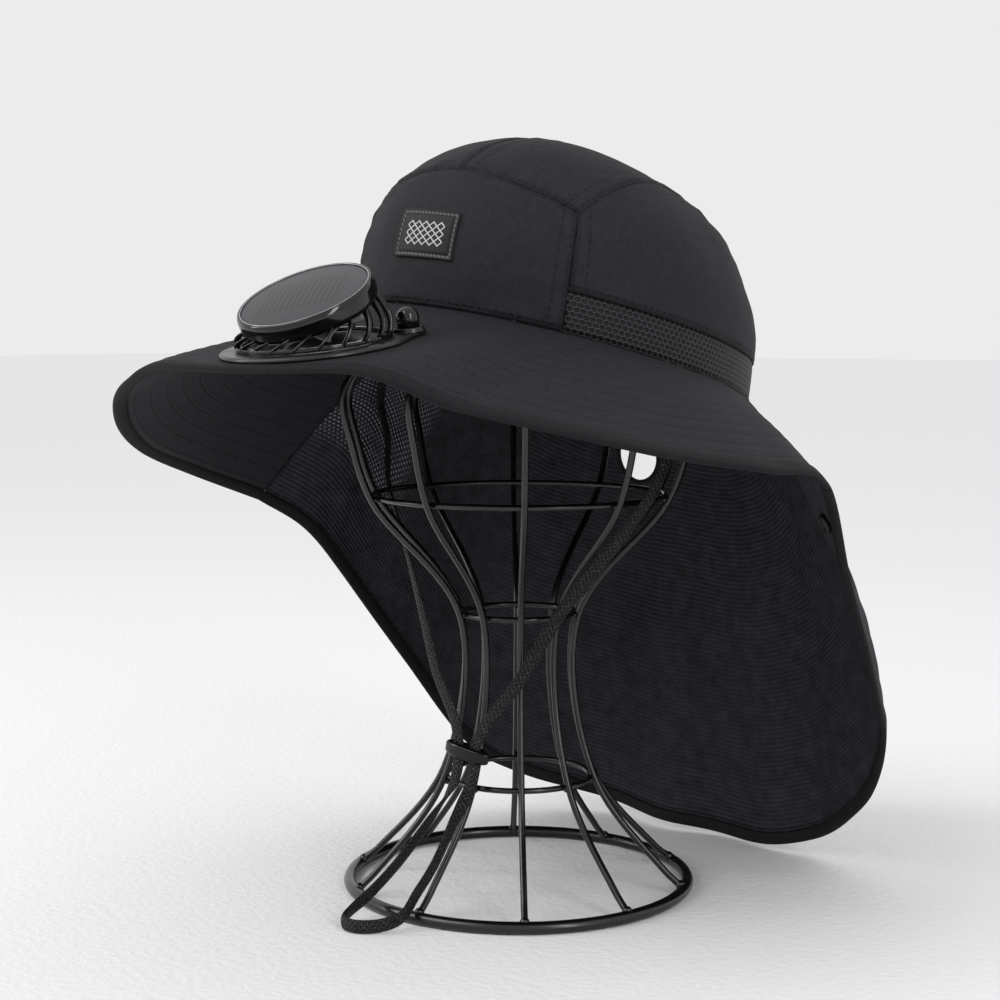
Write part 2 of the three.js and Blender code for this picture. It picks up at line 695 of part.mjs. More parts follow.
function crownPanels() {
  const arch = seamPoints(FRONT_ARCH, ARCH_STEPS);
  const archWhole = [...mirrored(arch).reverse(), ...arch.slice(1)];
  const frontBase = arcPoints(-FRONT_SEAM_BASE.azimuth, FRONT_SEAM_BASE.azimuth, 0, 2 * ARCH_STEPS);
  const lowerSide = seamPoints(frontSideSeam.slice(0, 2), 2);
  const upperSide = seamPoints(frontSideSeam.slice(1), 4);
  const frontLeftSide = [...lowerSide, ...upperSide.slice(1)];
  const sideSeam = seamPoints(SIDE_SEAM, SEAM_STEPS);
  const footSeam = seamPoints([seamRear, sideFoot], FOOT_STEPS);
  const topSide = [...sideSeam, ...footSeam.slice(1)];
  const rear = arcPoints(SIDE_SEAM_FOOT_AZIMUTH, 180, bandTop, ARCH_STEPS);
  const front = chartPoint(FRONT_ARCH[0]);
  const back = rear[rear.length - 1];
  const middle = topSide.map((_, index) => front.clone().lerp(back, index / (topSide.length - 1)));
  const sideBottom = arcPoints(bandFront.azimuth, SIDE_SEAM_FOOT_AZIMUTH, bandTop, SEAM_STEPS);
  const sideRear = spread(0, 1, upperSide.length - 1).map(
    (share) => chartPoint(sideFoot).lerp(chartPoint(seamRear), share));
  const group = new THREE.Group();
  group.add(crownPanel('crown_front_panel', [frontBase, archWhole, mirrored(frontLeftSide), frontLeftSide]));
  for (const [side, flip] of [['left', (points) => points], ['right', mirrored]]) {
    group.add(
      crownPanel(`crown_top_panel_${side}`, [arch, rear.slice().reverse(), middle, topSide].map(flip)),
      crownPanel(`crown_side_panel_${side}`, [sideBottom, sideSeam, upperSide, sideRear].map(flip)),
    );
  }
  group.add(crownBand());
  return group;
}

// The mesh band runs from the front panel's left seam round the back to its right seam
function crownBand() {
  const half = [
    ...spread(bandFront.azimuth, SIDE_SEAM_FOOT_AZIMUTH, SEAM_STEPS),
    ...spread(SIDE_SEAM_FOOT_AZIMUTH, 180, ARCH_STEPS).slice(1),
  ];
  const azimuths = [...half, ...half.slice(0, -1).reverse().map((azimuth) => 360 - azimuth)];
  const column = (azimuth) => [0, bandTop].map((height) => crownPoint(chartPoint({ azimuth, height })));
  return crownWall('crown_mesh_band', azimuths.map(column), MESH_CLOTH);
}

// The patch lies on the front panel and follows its curve
function patch() {
  const centre = { azimuth: PATCH_AZIMUTH, height: PATCH_MIDDLE_HEIGHT / CROWN_HEIGHT };
  const middle = crownPoint(chartPoint(centre));
  const grid = spread(-PATCH_WIDTH / 2, PATCH_WIDTH / 2, 4).map((x) => {
    const azimuth = THREE.MathUtils.radToDeg(Math.asin((middle.x + x) / CROWN_HALF_WIDTH));
    return spread(-PATCH_HEIGHT / 2, PATCH_HEIGHT / 2, 2).map((rise) => crownPoint(
      chartPoint({ azimuth, height: (PATCH_MIDDLE_HEIGHT + rise) / CROWN_HEIGHT })));
  });
  const lift = SEAT_GAP + CLOTH_SAG;
  return mesh('patch', wallGeometry(grid, lift + PATCH_THICKNESS, -lift), RUBBER);
}

// The brim and the flap

// The flange's front edge lies just inside the brim's binding
const fanPlace = (() => {
  const crownFront = vector(0, -CROWN_HALF_LENGTH, 0).applyMatrix4(crownFrame);
  const brimRun = readTable(FREE_EDGE, 'at', 'run', 0) * BRIM_WIDTH;
  const reach = brimRun - BINDING_WIDTH - FAN_EDGE_GAP - FLANGE_RADIUS;
  return vector(crownPlace.x, crownFront.y - reach, crownFront.z - FAN_FALL * BRIM_WIDTH);
})();

const fanFrame = new THREE.Matrix4().compose(
  fanPlace,
  new THREE.Quaternion().setFromEuler(new THREE.Euler(degrees(FAN_TILT), 0, 0)),
  vector(1, 1, 1),
);

// Where the brim and flap leave the crown: the middle of the crown's wall, just below its edge
function rootPoint(at) {
  const base = crownPoint(chartPoint({ azimuth: at, height: 0 }));
  const inward = base.clone().setLength(CROWN_WALL / 2);
  return base.sub(inward).setZ(-SEAT_GAP / 2 - BRIM_THICKNESS / 2).applyMatrix4(crownFrame);
}

function edgePoint(at) {
  const edge = readTable(FREE_EDGE, 'at', 'edge', at);
  const run = readTable(FREE_EDGE, 'at', 'run', at) * BRIM_WIDTH;
  const fall = readTable(FREE_EDGE, 'at', 'fall', at) * BRIM_WIDTH;
  const hang = readTable(FREE_EDGE, 'at', 'hang', at) * FLAP_LENGTH;
  return rootPoint(edge).addScaledVector(heading(edge), run).addScaledVector(UP, -fall - hang);
}

// 0 on the brim and at the end seams, 1 round the back of the flap
function flapShare(at) {
  return smooth((180 - END_SEAM_AZIMUTH - Math.abs(at - 180)) / FLAP_TURN);
}

// The cloth between the crown and the free edge: "share" runs from 0 at the crown to 1 at the edge
function clothPoint(at, share) {
  const root = rootPoint(at);
  const edge = edgePoint(at);
  const back = flapShare(at);
  const out = 1 - Math.pow(1 - share, mix(1, FLAP_SHOULDER, back));
  const down = Math.pow(share, mix(BRIM_DROOP, 1, back));
  const point = vector(mix(root.x, edge.x, out), mix(root.y, edge.y, out), mix(root.z, edge.z, down));
  const phase = degrees((at - END_SEAM_AZIMUTH) * FLAP_FOLDS * 2);
  point.addScaledVector(heading(at), Math.sin(phase) * FLAP_FOLD_DEPTH * back * share);
  return flattenedUnderFan(point, share);
}

// The brim lies flat under the fan unit
function flattenedUnderFan(point, share) {
  const distance = Math.hypot(point.x - fanPlace.x, point.y - fanPlace.y);
  const plane = fanPlace.z + Math.tan(degrees(FAN_TILT)) * (point.y - fanPlace.y) - BRIM_THICKNESS / 2;
  const flat = (1 - smooth((distance - FAN_FLAT_RADIUS) / FAN_BLEND)) * smooth(share / FAN_ROOT_SHARE);
  return point.setZ(mix(point.z, plane, flat));
}

// The share of the cloth's length that leaves a strip of one width beside the free edge
function shareBeforeEdge(at, width) {
  const strip = 0.1;
  const along = edgePoint(at + 1).sub(edgePoint(at - 1)).normalize();
  const inward = clothPoint(at, 1 - strip).sub(edgePoint(at));
  const square = Math.max(along.cross(inward).length(), inward.length() / 2);
  return 1 - width * strip / square;
}

// A wall of cloth between two azimuths, from one share of its length to another
function clothWall({ start, end, steps }, rows, from, to, thickness) {
  const column = (at) => spread(from(at), to(at), rows).map((share) => clothPoint(at, share));
  const grid = insetGrid(spread(start, end, steps).map(column), SEAM_GAP / 2);
  return wallGeometry(grid, thickness / 2, thickness / 2);
}

function rootShare() {
  return 0;
}

function hemShare(at) {
  return shareBeforeEdge(at, BINDING_WIDTH);
}

function brim() {
  const sheet = clothWall(BRIM_SPAN, CLOTH_ROWS, rootShare, hemShare, BRIM_THICKNESS);
  const hole = cylinder(BRIM_HOLE_RADIUS, -3 * SLEEVE_DEPTH, 2 * SLEEVE_DEPTH, FAN_SIDES).applyMatrix4(fanFrame);
  return mesh('brim', cut(sheet, [hole]), CLOTH);
}

// The flap is sewn from four panels, and the ponytail opening is cut beside the middle seam
function flap() {
  const place = rootPoint(OPENING_AZIMUTH).addScaledVector(UP, -OPENING_FALL);
  const radius = OPENING_WIDTH / 2;
  const hole = new THREE.CylinderGeometry(radius, radius, 4 * radius, OPENING_SIDES);
  hole.scale(1, 1, OPENING_HEIGHT / OPENING_WIDTH).rotateZ(degrees(OPENING_AZIMUTH - 180)).translate(...place);
  const group = new THREE.Group();
  for (const panel of FLAP_PANELS) {
    const sheet = clothWall(panel, CLOTH_ROWS, rootShare, hemShare, FLAP_THICKNESS);
    const opens = OPENING_AZIMUTH > panel.start && OPENING_AZIMUTH < panel.end;
    group.add(mesh(panel.name, opens ? cut(sheet, [hole]) : sheet, CLOTH));
  }
  return group;
}

function binding(name, span) {
  const from = (at) => shareBeforeEdge(at, BINDING_WIDTH - SEAM_GAP);
  return mesh(name, clothWall(span, BINDING_ROWS, from, () => 1, BINDING_THICKNESS), SATIN);
}

function snap() {
  const place = clothPoint(SNAP_AZIMUTH, SNAP_SHARE);
  const along = clothPoint(SNAP_AZIMUTH + 1, SNAP_SHARE).sub(clothPoint(SNAP_AZIMUTH - 1, SNAP_SHARE));
  const step = 0.02;
  const across = clothPoint(SNAP_AZIMUTH, SNAP_SHARE + step).sub(clothPoint(SNAP_AZIMUTH, SNAP_SHARE - step));
  const inner = along.cross(across).normalize();
  if (inner.dot(heading(SNAP_AZIMUTH)) > 0) inner.negate();
  const lift = FLAP_THICKNESS / 2 + SEAT_GAP + CLOTH_SAG;
  const part = mesh('flap_snap', cylinder(SNAP_RADIUS, lift, lift + SNAP_HEIGHT, 12), SATIN);
  part.position.copy(place);
  part.quaternion.setFromUnitVectors(UP, inner);
  return part;
}

// The fan unit

function flangeShape() {
  const shape = new THREE.Shape();
  for (let index = 0; index < FLANGE_SIDES; index += 1) {
    const azimuth = index / FLANGE_SIDES * 360;
    const away = Math.abs(azimuth - FLANGE_LOBE_AZIMUTH) / FLANGE_LOBE_SPREAD;
    const radius = FLANGE_RADIUS + FLANGE_LOBE * Math.exp(-away * away);
    const direction = heading(azimuth);
    if (index === 0) shape.moveTo(direction.x * radius, direction.y * radius);
    else shape.lineTo(direction.x * radius, direction.y * radius);
  }
  shape.closePath();
  return shape;
}

const flangeTop = SEAT_GAP + FLANGE_THICKNESS;
const buttonPlace = heading(BUTTON_AZIMUTH).multiplyScalar(BUTTON_DISTANCE);

function flange() {
  const plate = new THREE.ExtrudeGeometry(flangeShape(), { depth: FLANGE_THICKNESS, bevelEnabled: false });
  plate.translate(0, 0, SEAT_GAP);
  const collarRadius = BUTTON_RADIUS + SEAT_GAP + BUTTON_COLLAR_WALL;
  const collar = cylinder(collarRadius, SEAT_GAP, flangeTop + BUTTON_COLLAR_HEIGHT, 16);
  collar.translate(buttonPlace.x, buttonPlace.y, 0);
  const bore = cylinder(BUTTON_RADIUS + SEAT_GAP, flangeTop, flangeTop + 2 * BUTTON_COLLAR_HEIGHT, 16);
  bore.translate(buttonPlace.x, buttonPlace.y, 0);
  const hole = cylinder(BRIM_HOLE_RADIUS, -FLANGE_THICKNESS, 2 * flangeTop, FAN_SIDES);
  return mesh('fan_base_flange', cut(joined([plate, collar]), [bore, hole]), SATIN);
}

// A glossy domed button that presses down inside its collar
function powerButton() {
  const foot = flangeTop + BUTTON_TRAVEL + SEAT_GAP;
  const top = foot + BUTTON_HEIGHT;
  const wall = top - BUTTON_RADIUS;
  const dome = spread(0, 90, 4).map((angle) => [
    Math.cos(degrees(angle)) * BUTTON_RADIUS, wall + Math.sin(degrees(angle)) * BUTTON_RADIUS,
  ]);
  const outline = [[0, foot], [BUTTON_RADIUS, foot], ...dome.slice(0, -1), [0, top]];
  const part = mesh('power_button', turnedOnAxis(outline, 12), GLOSS);
  part.position.copy(buttonPlace);
  return part;
}

// The sleeve through the brim, its rim under the brim, and the guard across its mouth
function lowerGrille() {
  const outer = BRIM_HOLE_RADIUS - SEAT_GAP;
  const inner = outer - SLEEVE_WALL;
  const rimTop = -BRIM_THICKNESS - SEAT_GAP;
  const rimFoot = rimTop - GRILLE_RIM_THICKNESS;
  const sleeve = turned([
    [inner, -SLEEVE_DEPTH], [outer, -SLEEVE_DEPTH], [outer, rimFoot], [GRILLE_RIM_RADIUS, rimFoot],
    [GRILLE_RIM_RADIUS, rimTop], [outer, rimTop], [outer, flangeTop - SEAT_GAP], [inner, flangeTop - SEAT_GAP],
  ], FAN_SIDES);
  const guardTop = -SLEEVE_DEPTH + SLEEVE_WALL;
  const spokes = Array.from({ length: GRILLE_SPOKES / 2 }, (_, index) => {
    const spoke = new THREE.BoxGeometry(2 * outer - SLEEVE_WALL, GRILLE_SPOKE_WIDTH, SLEEVE_WALL);
    return spoke.translate(0, 0, guardTop - SLEEVE_WALL / 2).rotateZ(degrees(index * 360 / GRILLE_SPOKES));
  });
  const hub = cylinder(GRILLE_HUB_RADIUS, -SLEEVE_DEPTH, guardTop, 12);
  return mesh('fan_lower_grille', joined([sleeve, hub, ...spokes]), SATIN);
}

const housingFrame = new THREE.Matrix4().compose(
  HOUSING_PLACE,
  new THREE.Quaternion().setFromEuler(new THREE.Euler(degrees(HOUSING_TILT), 0, 0)),
  vector(1, 1, 1),
);

function housing() {
  const seat = -GLASS_SINK - GLASS_THICKNESS - SEAT_GAP;
  const opening = GLASS_RADIUS + SEAT_GAP;
  const round = HOUSING_ROUND;
  const chamfer = round * (1 - Math.SQRT1_2);
  const outline = [
    [0, seat], [opening, seat], [opening, -chamfer], [opening + chamfer, 0], [HOUSING_RADIUS - round, 0],
    [HOUSING_RADIUS - chamfer, -chamfer], [HOUSING_RADIUS, -round], [HOUSING_RADIUS, -HOUSING_DEPTH + round],
    [HOUSING_RADIUS - chamfer, -HOUSING_DEPTH + chamfer], [HOUSING_RADIUS - round, -HOUSING_DEPTH],
    [MOTOR_RADIUS, -HOUSING_DEPTH], [MOTOR_RADIUS, -HOUSING_DEPTH - MOTOR_DEPTH],
    [0, -HOUSING_DEPTH - MOTOR_DEPTH],
  ];
  return mesh('solar_housing', turnedOnAxis(outline.reverse(), FAN_SIDES), GLOSS);
}

function solarGlass() {
  const foot = -GLASS_SINK - GLASS_THICKNESS;
  const dome = [1, 0.6, 0].map((share) => [
    GLASS_RADIUS * share, GLASS_DOME * (1 - share * share) - GLASS_SINK,
  ]);
  return mesh('solar_glass', turnedOnAxis([[0, foot], [GLASS_RADIUS, foot], ...dome], FAN_SIDES), GLASS);
}

function bladeGeometry(index) {
  const start = ROTOR_HUB_RADIUS - BLADE_ROOT;
  const grid = spread(start, ROTOR_RADIUS, 2).map((radius) => spread(-1, 1, 2).map((across) => {
    const share = (radius - start) / (ROTOR_RADIUS - start);
    const twist = degrees(mix(BLADE_ROOT_PITCH, BLADE_TIP_PITCH, share));
    const rise = across * (ROTOR_DEPTH - BLADE_THICKNESS) / 2;
    const sweep = across * across * BLADE_CAMBER + share * BLADE_SWEEP;
    const turn = rise / Math.tan(twist) / Math.max(radius, ROTOR_HUB_RADIUS) + sweep;
    return vector(Math.cos(turn) * radius, Math.sin(turn) * radius, rise);
  }));
  const blade = wallGeometry(grid, BLADE_THICKNESS / 2, BLADE_THICKNESS / 2);
  return blade.rotateZ(index / ROTOR_BLADES * 2 * Math.PI);
}

function rotor() {
  const middle = -HOUSING_DEPTH - MOTOR_DEPTH - SEAT_GAP - ROTOR_DEPTH / 2;
  const hub = cylinder(ROTOR_HUB_RADIUS, -ROTOR_DEPTH / 2, ROTOR_DEPTH / 2, 20);
  const blades = Array.from({ length: ROTOR_BLADES }, (_, index) => bladeGeometry(index));
  const part = mesh('fan_rotor', joined([hub, ...blades]), BLADE);
  part.position.set(0, 0, middle);
  return part;
}

// The lowest point of the housing's rim at an azimuth, in the fan's frame
function housingRim(azimuth, radius) {
  return heading(azimuth).multiplyScalar(radius).setZ(-HOUSING_DEPTH).applyMatrix4(housingFrame);
}

// A curved vane from the cage's ring up to just below the housing's rim
function vaneGeometry(index) {
  const azimuth = (index + 0.5) / VANE_COUNT * 360;
  const ringTop = flangeTop + SEAT_GAP + CAGE_RING_HEIGHT;
  const foot = heading(azimuth).multiplyScalar(CAGE_RING_RADIUS).setZ(ringTop - CAGE_RING_HEIGHT / 2);
  const head = housingRim(azimuth + VANE_LEAN, HOUSING_RADIUS - HOUSING_ROUND - VANE_DEPTH / 2);
  const down = UP.clone().transformDirection(housingFrame).multiplyScalar(-SEAT_GAP - VANE_THICKNESS / 2);
  head.add(down);
  const fullBulge = VANE_BULGE * smooth((head.z - foot.z) / VANE_BULGE_RISE);
  const radial = heading(azimuth + VANE_LEAN / 2);
  const path = spread(0, 1, 3).map((share) => {
    const bulge = fullBulge * Math.sin(Math.PI * Math.pow(share, VANE_ARCH));
    return foot.clone().lerp(head, share).setZ(mix(foot.z, head.z, Math.pow(share, VANE_ARCH)))
      .addScaledVector(radial, bulge);
  });
  const side = radial.clone().cross(UP);
  const inner = path.map((point) => point.clone().addScaledVector(radial, -VANE_DEPTH / 2));
  const outer = path.map((point) => point.clone().addScaledVector(radial, VANE_DEPTH / 2));
  const points = [];
  const half = VANE_THICKNESS / 2;
  path.forEach((_, step) => {
    points.push(
      inner[step].clone().addScaledVector(side, -half), inner[step].clone().addScaledVector(side, half),
      outer[step].clone().addScaledVector(side, half), outer[step].clone().addScaledVector(side, -half),
    );
  });
  const triangles = [];
  const last = 4 * (path.length - 1);
  triangles.push([0, 1, 2], [0, 2, 3], [last, last + 2, last + 1], [last, last + 3, last + 2]);
  for (let step = 0; step < path.length - 1; step += 1) {
    for (let corner = 0; corner < 4; corner += 1) {
      const a = 4 * step + corner;
      const b = 4 * step + (corner + 1) % 4;
      triangles.push([a, a + 4, b + 4], [a, b + 4, b]);
    }
  }
  return closedGeometry(points, triangles);
}

function vaneCage() {
  const foot = flangeTop + SEAT_GAP;
  const inner = CAGE_RING_RADIUS - CAGE_RING_WIDTH / 2;
  const outer = CAGE_RING_RADIUS + CAGE_RING_WIDTH / 2;
  const top = foot + CAGE_RING_HEIGHT;
  const ring = turned([[inner, foot], [outer, foot], [outer, top], [inner, top]], FAN_SIDES);
  const vanes = Array.from({ length: VANE_COUNT }, (_, index) => vaneGeometry(index));
  return mesh('fan_vane_cage', joined([ring, ...vanes]), GLOSS);
}

function fanUnit() {
  const head = new THREE.Group();
  head.applyMatrix4(housingFrame);
  head.add(housing(), solarGlass(), rotor());
  const unit = new THREE.Group();
  unit.applyMatrix4(fanFrame);
  unit.add(flange(), lowerGrille(), vaneCage(), powerButton(), head);
  return unit;
}

// The chin strap

// Where the strap's flat face looks: out to the side at the crown, to the front at the slider, and out of the
// loop where it stands on the floor
function strapFace(point) {
  const side = smooth((point.z - SLIDER_PLACE.z) / (crownPlace.z - SLIDER_PLACE.z));
  if (point.z > SLIDER_PLACE.z - SLIDER_HEIGHT) return vector(Math.sign(point.x) * side, side - 1, 0);
  const middle = LOOP_MIDDLE.x * (1 - point.z / SLIDER_PLACE.z);
  const tip = smooth((LOOP_MIDDLE.y + LOOP_TIP - point.y) / (2 * LOOP_TIP));
  const outward = vector(point.x - middle, (point.y - LOOP_MIDDLE.y) * tip, 0).normalize();
  const turn = smooth((SLIDER_PLACE.z - SLIDER_HEIGHT - point.z) / LOOP_TURN);
  return vector(0, turn - 1, 0).addScaledVector(outward, turn);
}

// A path whose section follows the strap's face
class StrapPath extends SteppedPath {
  computeFrenetFrames(segments) {
    const tangents = [];
    const normals = [];
    const binormals = [];
    for (let index = 0; index <= segments; index += 1) {
      const tangent = this.getTangentAt(index / segments);
      const across = strapFace(this.getPointAt(index / segments)).cross(tangent).normalize();
      tangents.push(tangent);
      normals.push(across);
      binormals.push(tangent.clone().cross(across));
    }
    return { tangents, normals, binormals };
  }
}

// The strap runs straight through each of the slider's slots
function slotPoints(side, way) {
  return [way, -way].map((end) => SLIDER_PLACE.clone().add(
    vector(side * SLIDER_SLOT_SPACING / 2, 0, end * SLIDER_HEIGHT / 2)));
}

function chinStrap() {
  const points = (route) => route.map((place) => vector(...place));
  const path = new StrapPath([
    ...points(STRAP_LEFT), ...slotPoints(1, 1), ...points(STRAP_LOOP), ...slotPoints(-1, -1),
    ...points(STRAP_RIGHT),
  ]);
  const geometry = new THREE.ExtrudeGeometry(polygonShape(STRAP_WIDTH, STRAP_THICKNESS, 8), {
    steps: (path.points.length - 1) * STRAP_SPAN_STEPS, bevelEnabled: false, extrudePath: path,
  });
  return mesh('chin_strap', geometry, SATIN);
}

// An oval slider with two slots that both strands pass through
function strapSlider() {
  const shape = polygonShape(SLIDER_LENGTH, SLIDER_DEPTH, 16);
  const body = new THREE.ExtrudeGeometry(shape, { depth: SLIDER_HEIGHT, bevelEnabled: false });
  body.translate(0, 0, -SLIDER_HEIGHT / 2);
  const slots = [-1, 1].map((side) => {
    const slot = new THREE.BoxGeometry(
      STRAP_WIDTH + SLOT_PLAY, STRAP_THICKNESS + SLOT_PLAY, 2 * SLIDER_HEIGHT);
    return slot.translate(side * SLIDER_SLOT_SPACING / 2, 0, 0);
  });
  const part = mesh('strap_slider', cut(body, slots), GLOSS);
  part.position.copy(SLIDER_PLACE);
  part.rotation.y = degrees(SLIDER_TILT);
  return part;
}

// The whole

const hatOnStand = new THREE.Group();
const crown = crownPanels();
crown.add(patch());
crown.applyMatrix4(crownFrame);
hatOnStand.add(
  stand(),
  crown,
  brim(),
  flap(),
  binding('brim_binding', BRIM_SPAN),
  binding('flap_binding', FLAP_BINDING_SPAN),
  snap(),
  fanUnit(),
);

// The origin is the middle of the underside of the box round all but the strap
hatOnStand.updateMatrixWorld(true);
const box = new THREE.Box3().setFromObject(hatOnStand, true);
const origin = vector((box.min.x + box.max.x) / 2, (box.min.y + box.max.y) / 2, box.min.z);
hatOnStand.add(chinStrap(), strapSlider());
hatOnStand.position.sub(origin);

export default hatOnStand;
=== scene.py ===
"""Solar fan sun hat on a wire hat stand: the finished looks over the CAD frame."""

import math

import bmesh
import bpy
from bpy.props import FloatProperty, FloatVectorProperty, IntProperty, PointerProperty
from mathutils import Matrix, Vector, noise
from mathutils.bvhtree import BVHTree


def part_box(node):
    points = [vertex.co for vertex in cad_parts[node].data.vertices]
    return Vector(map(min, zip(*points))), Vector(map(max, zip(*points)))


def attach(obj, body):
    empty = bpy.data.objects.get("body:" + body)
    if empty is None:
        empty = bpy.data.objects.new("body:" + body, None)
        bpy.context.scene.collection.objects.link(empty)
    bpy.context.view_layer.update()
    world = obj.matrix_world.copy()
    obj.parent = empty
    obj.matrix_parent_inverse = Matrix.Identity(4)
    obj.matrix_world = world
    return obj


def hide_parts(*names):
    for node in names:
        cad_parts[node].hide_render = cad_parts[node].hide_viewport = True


bl_info = {
    "name": "Solar Fan Sun Hat",
    "version": (1, 0, 0),
    "blender": (4, 5, 0),
    "location": "3D View > Sidebar > Sun Hat",
    "description": "Builds a neck-flap sun hat with a solar fan on a wire hat stand",
    "category": "Add Mesh",
}

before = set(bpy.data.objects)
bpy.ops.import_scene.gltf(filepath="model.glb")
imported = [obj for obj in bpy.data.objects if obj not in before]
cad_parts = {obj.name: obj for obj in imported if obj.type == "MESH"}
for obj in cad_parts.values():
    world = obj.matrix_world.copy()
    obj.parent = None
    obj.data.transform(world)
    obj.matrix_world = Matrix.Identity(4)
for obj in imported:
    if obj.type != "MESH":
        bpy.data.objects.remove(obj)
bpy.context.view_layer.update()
BODY = "hat_and_stand"
MM = 0.001
GAP = 0.3  # between neighbouring pieces, in millimetres
SIDE, END = 0, 1  # the seam a stitch row follows: a panel's sides, or its ends

# The hat's shape in millimetres from the stand's foot, as in the solids
BASE_LOW, BASE_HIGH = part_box("stand_base_ring")
SHIFT = Vector(((BASE_LOW[0] + BASE_HIGH[0]) / 2, (BASE_LOW[1] + BASE_HIGH[1]) / 2, 0)) / MM
CROWN_HALF_WIDTH, CROWN_HALF_LENGTH, CROWN_HEIGHT = 86.5, 103.5, 92
CROWN_LEAN, CROWN_SHOULDER, CROWN_DOME, CROWN_WALL = 0.18, 3.1, 0.57, 1.5
CROWN_PLACE = Vector((13, 10.6, 246.6))
CROWN_FRAME = (
    Matrix.Translation(CROWN_PLACE)
    @ Matrix.Rotation(math.radians(6), 4, "Y")
    @ Matrix.Rotation(math.radians(-13), 4, "X")
)
FRONT_ARCH = [(0, 0.65), (22, 0.61), (41, 0.53)]
SIDE_SEAM = [
    (41, 0.53), (46, 0.62), (55, 0.73), (70, 0.82), (90, 0.85), (110, 0.79), (128, 0.62), (142, 0.40),
    (148, 0.28),
]
SIDE_SEAM_FOOT = 152
FRONT_SEAM_FOOT = 40
BAND_HEIGHT = 17
BAND_TOP = BAND_HEIGHT / CROWN_HEIGHT
BRIM_WIDTH, BRIM_THICKNESS, FLAP_LENGTH, BINDING_WIDTH = 105, 2, 220, 6
END_SEAM = 90
CLOTH_START = 0.002  # the share of its run at which the cloth leaves the crown
WAVE_RATE, WAVE_REACH = 14, 3  # the flap's broad waves: degrees of phase for each degree round, millimetres
FLAT_RADIUS, FLAT_BLEND = 52, 34  # the brim lies flat under the fan, then blends into its curve
SNAP_PLACE = (97, 0.86)
PATCH_WIDTH, PATCH_HEIGHT, PATCH_LEVEL = 32, 21, 29
# place on the crown's base, the edge's own azimuth, run, fall, hang
FREE_EDGE = [
    (-90, -77, 0.68, 0.80, 0), (-74, -63, 0.84, 0.69, 0), (-60, -52, 0.95, 0.60, 0), (-47, -42, 1.01, 0.49, 0),
    (-36, -33, 1.03, 0.37, 0), (-22, -21, 1.02, 0.28, 0), (0, 0, 1.02, 0.25, 0), (20, 20, 1.00, 0.28, 0),
    (38, 36, 0.95, 0.34, 0), (55, 51, 0.88, 0.39, 0), (72, 65, 0.815, 0.40, 0), (90, 80, 0.685, 0.43, 0),
    (100, 93, 0.58, 0.43, 0.17), (112, 108, 0.605, 0.40, 0.42), (122, 116, 0.595, 0.30, 0.57),
    (132, 124, 0.57, 0.15, 0.785), (145, 136, 0.42, 0, 0.95), (160, 150, 0.28, 0, 0.995),
    (180, 177, 0.13, 0, 0.995), (200, 206, 0.30, 0, 1.00), (215, 227, 0.41, 0, 0.975),
    (226, 237, 0.45, 0.10, 0.88), (238, 252, 0.48, 0.30, 0.59), (250, 267, 0.48, 0.51, 0.305),
    (260, 277, 0.52, 0.70, 0.11), (270, 283, 0.68, 0.80, 0),
]
FAN_PLACE = CROWN_PLACE + Vector((0, -164, 5.41))
FAN_TILT = math.radians(9)
FAN_FRAME = Matrix.Translation(FAN_PLACE) @ Matrix.Rotation(FAN_TILT, 4, "X")
HOUSING_FRAME = FAN_FRAME @ Matrix.Translation((0, -3, 22)) @ Matrix.Rotation(math.radians(19), 4, "X")
HOUSING_RADIUS, HOUSING_DEPTH, COVER_RADIUS = 28, 6.5, 26
BRIM_HOLE_RADIUS, CAGE_RING_RADIUS = 27.4, 29.6
FLANGE_RADIUS, FLANGE_LOBE, LOBE_AZIMUTH, LOBE_WIDTH = 37.5, 9, 150, 17
GRILLE_FLOOR, GUARD_HEIGHT, GUARD_RINGS, GUARD_SPOKES = -5.2, -4.6, (12.5, 19.2), 6
RIM_RADIUS, RIM_HEIGHT, RIM_WIRE = 26.25, -0.35, 0.48
COVER_EDGE, COVER_DOME = -0.5, 0.7
VANE_FOOT, VANE_HEAD, VANE_BULGE, VANE_TWIST = 3.2, 24.6, 3.2, 16
ROTOR_RADIUS, HUB_RADIUS, HUB_HALF, MOTOR_DEPTH = 21.5, 7.5, 3, 2
BLADE_ROOT, BLADE_HALF, BLADE_PITCH = 6, 2.5, 38
BUTTON_PLACE = (142, 38)
OPENING_AZIMUTH, OPENING_FALL, OPENING_WIDTH, OPENING_HEIGHT = 191, 30, 22, 26
SLIDER_PLACE = Vector((0, -39.6, 69))
SLIDER_HEIGHT, SLIDER_HALF_DEPTH, SLIDER_STRETCH, SLIDER_TILT = 6.5, 4, 3, 10
SLOT_SPACING, SLOT_SIZE = 9.6, (8, 3.8, 12)
STRAP_WIDTH, STRAP_THICKNESS = 6, 1.8
STRAP_LEFT = [
    (96, 7, 236), (91, 3, 222), (83.5, -4, 203), (76, -7.5, 186), (55, -12, 158), (34, -17, 131),
    (20, -28, 101), (8.5, -36.5, 82),
]
STRAP_LOOP = [
    (4.8, -43, 55), (4.5, -56, 40), (3.5, -68, 24), (1.5, -78, 13), (2, -89, 5.6), (-2, -99, 3.6),
    (-10, -105.5, 3.5), (-18.5, -104, 3.6), (-22, -95.5, 5.2), (-20.5, -83, 11), (-15, -70, 23),
    (-8.5, -56, 40), (-5, -43, 55),
]
LOOP_MIDDLE = (-9.5, -88)
LOOP_TURN, LOOP_TIP = 30, 4
STRAP_RIGHT = [
    (-8.5, -37.5, 82), (-24, -31, 101), (-37, -25, 126), (-50, -19, 150), (-64, -11, 170), (-75.5, -4, 187),
    (-81.5, 3, 205), (-87.5, 5, 226), (-84, 7, 240), (-74, 8.5, 248),
]
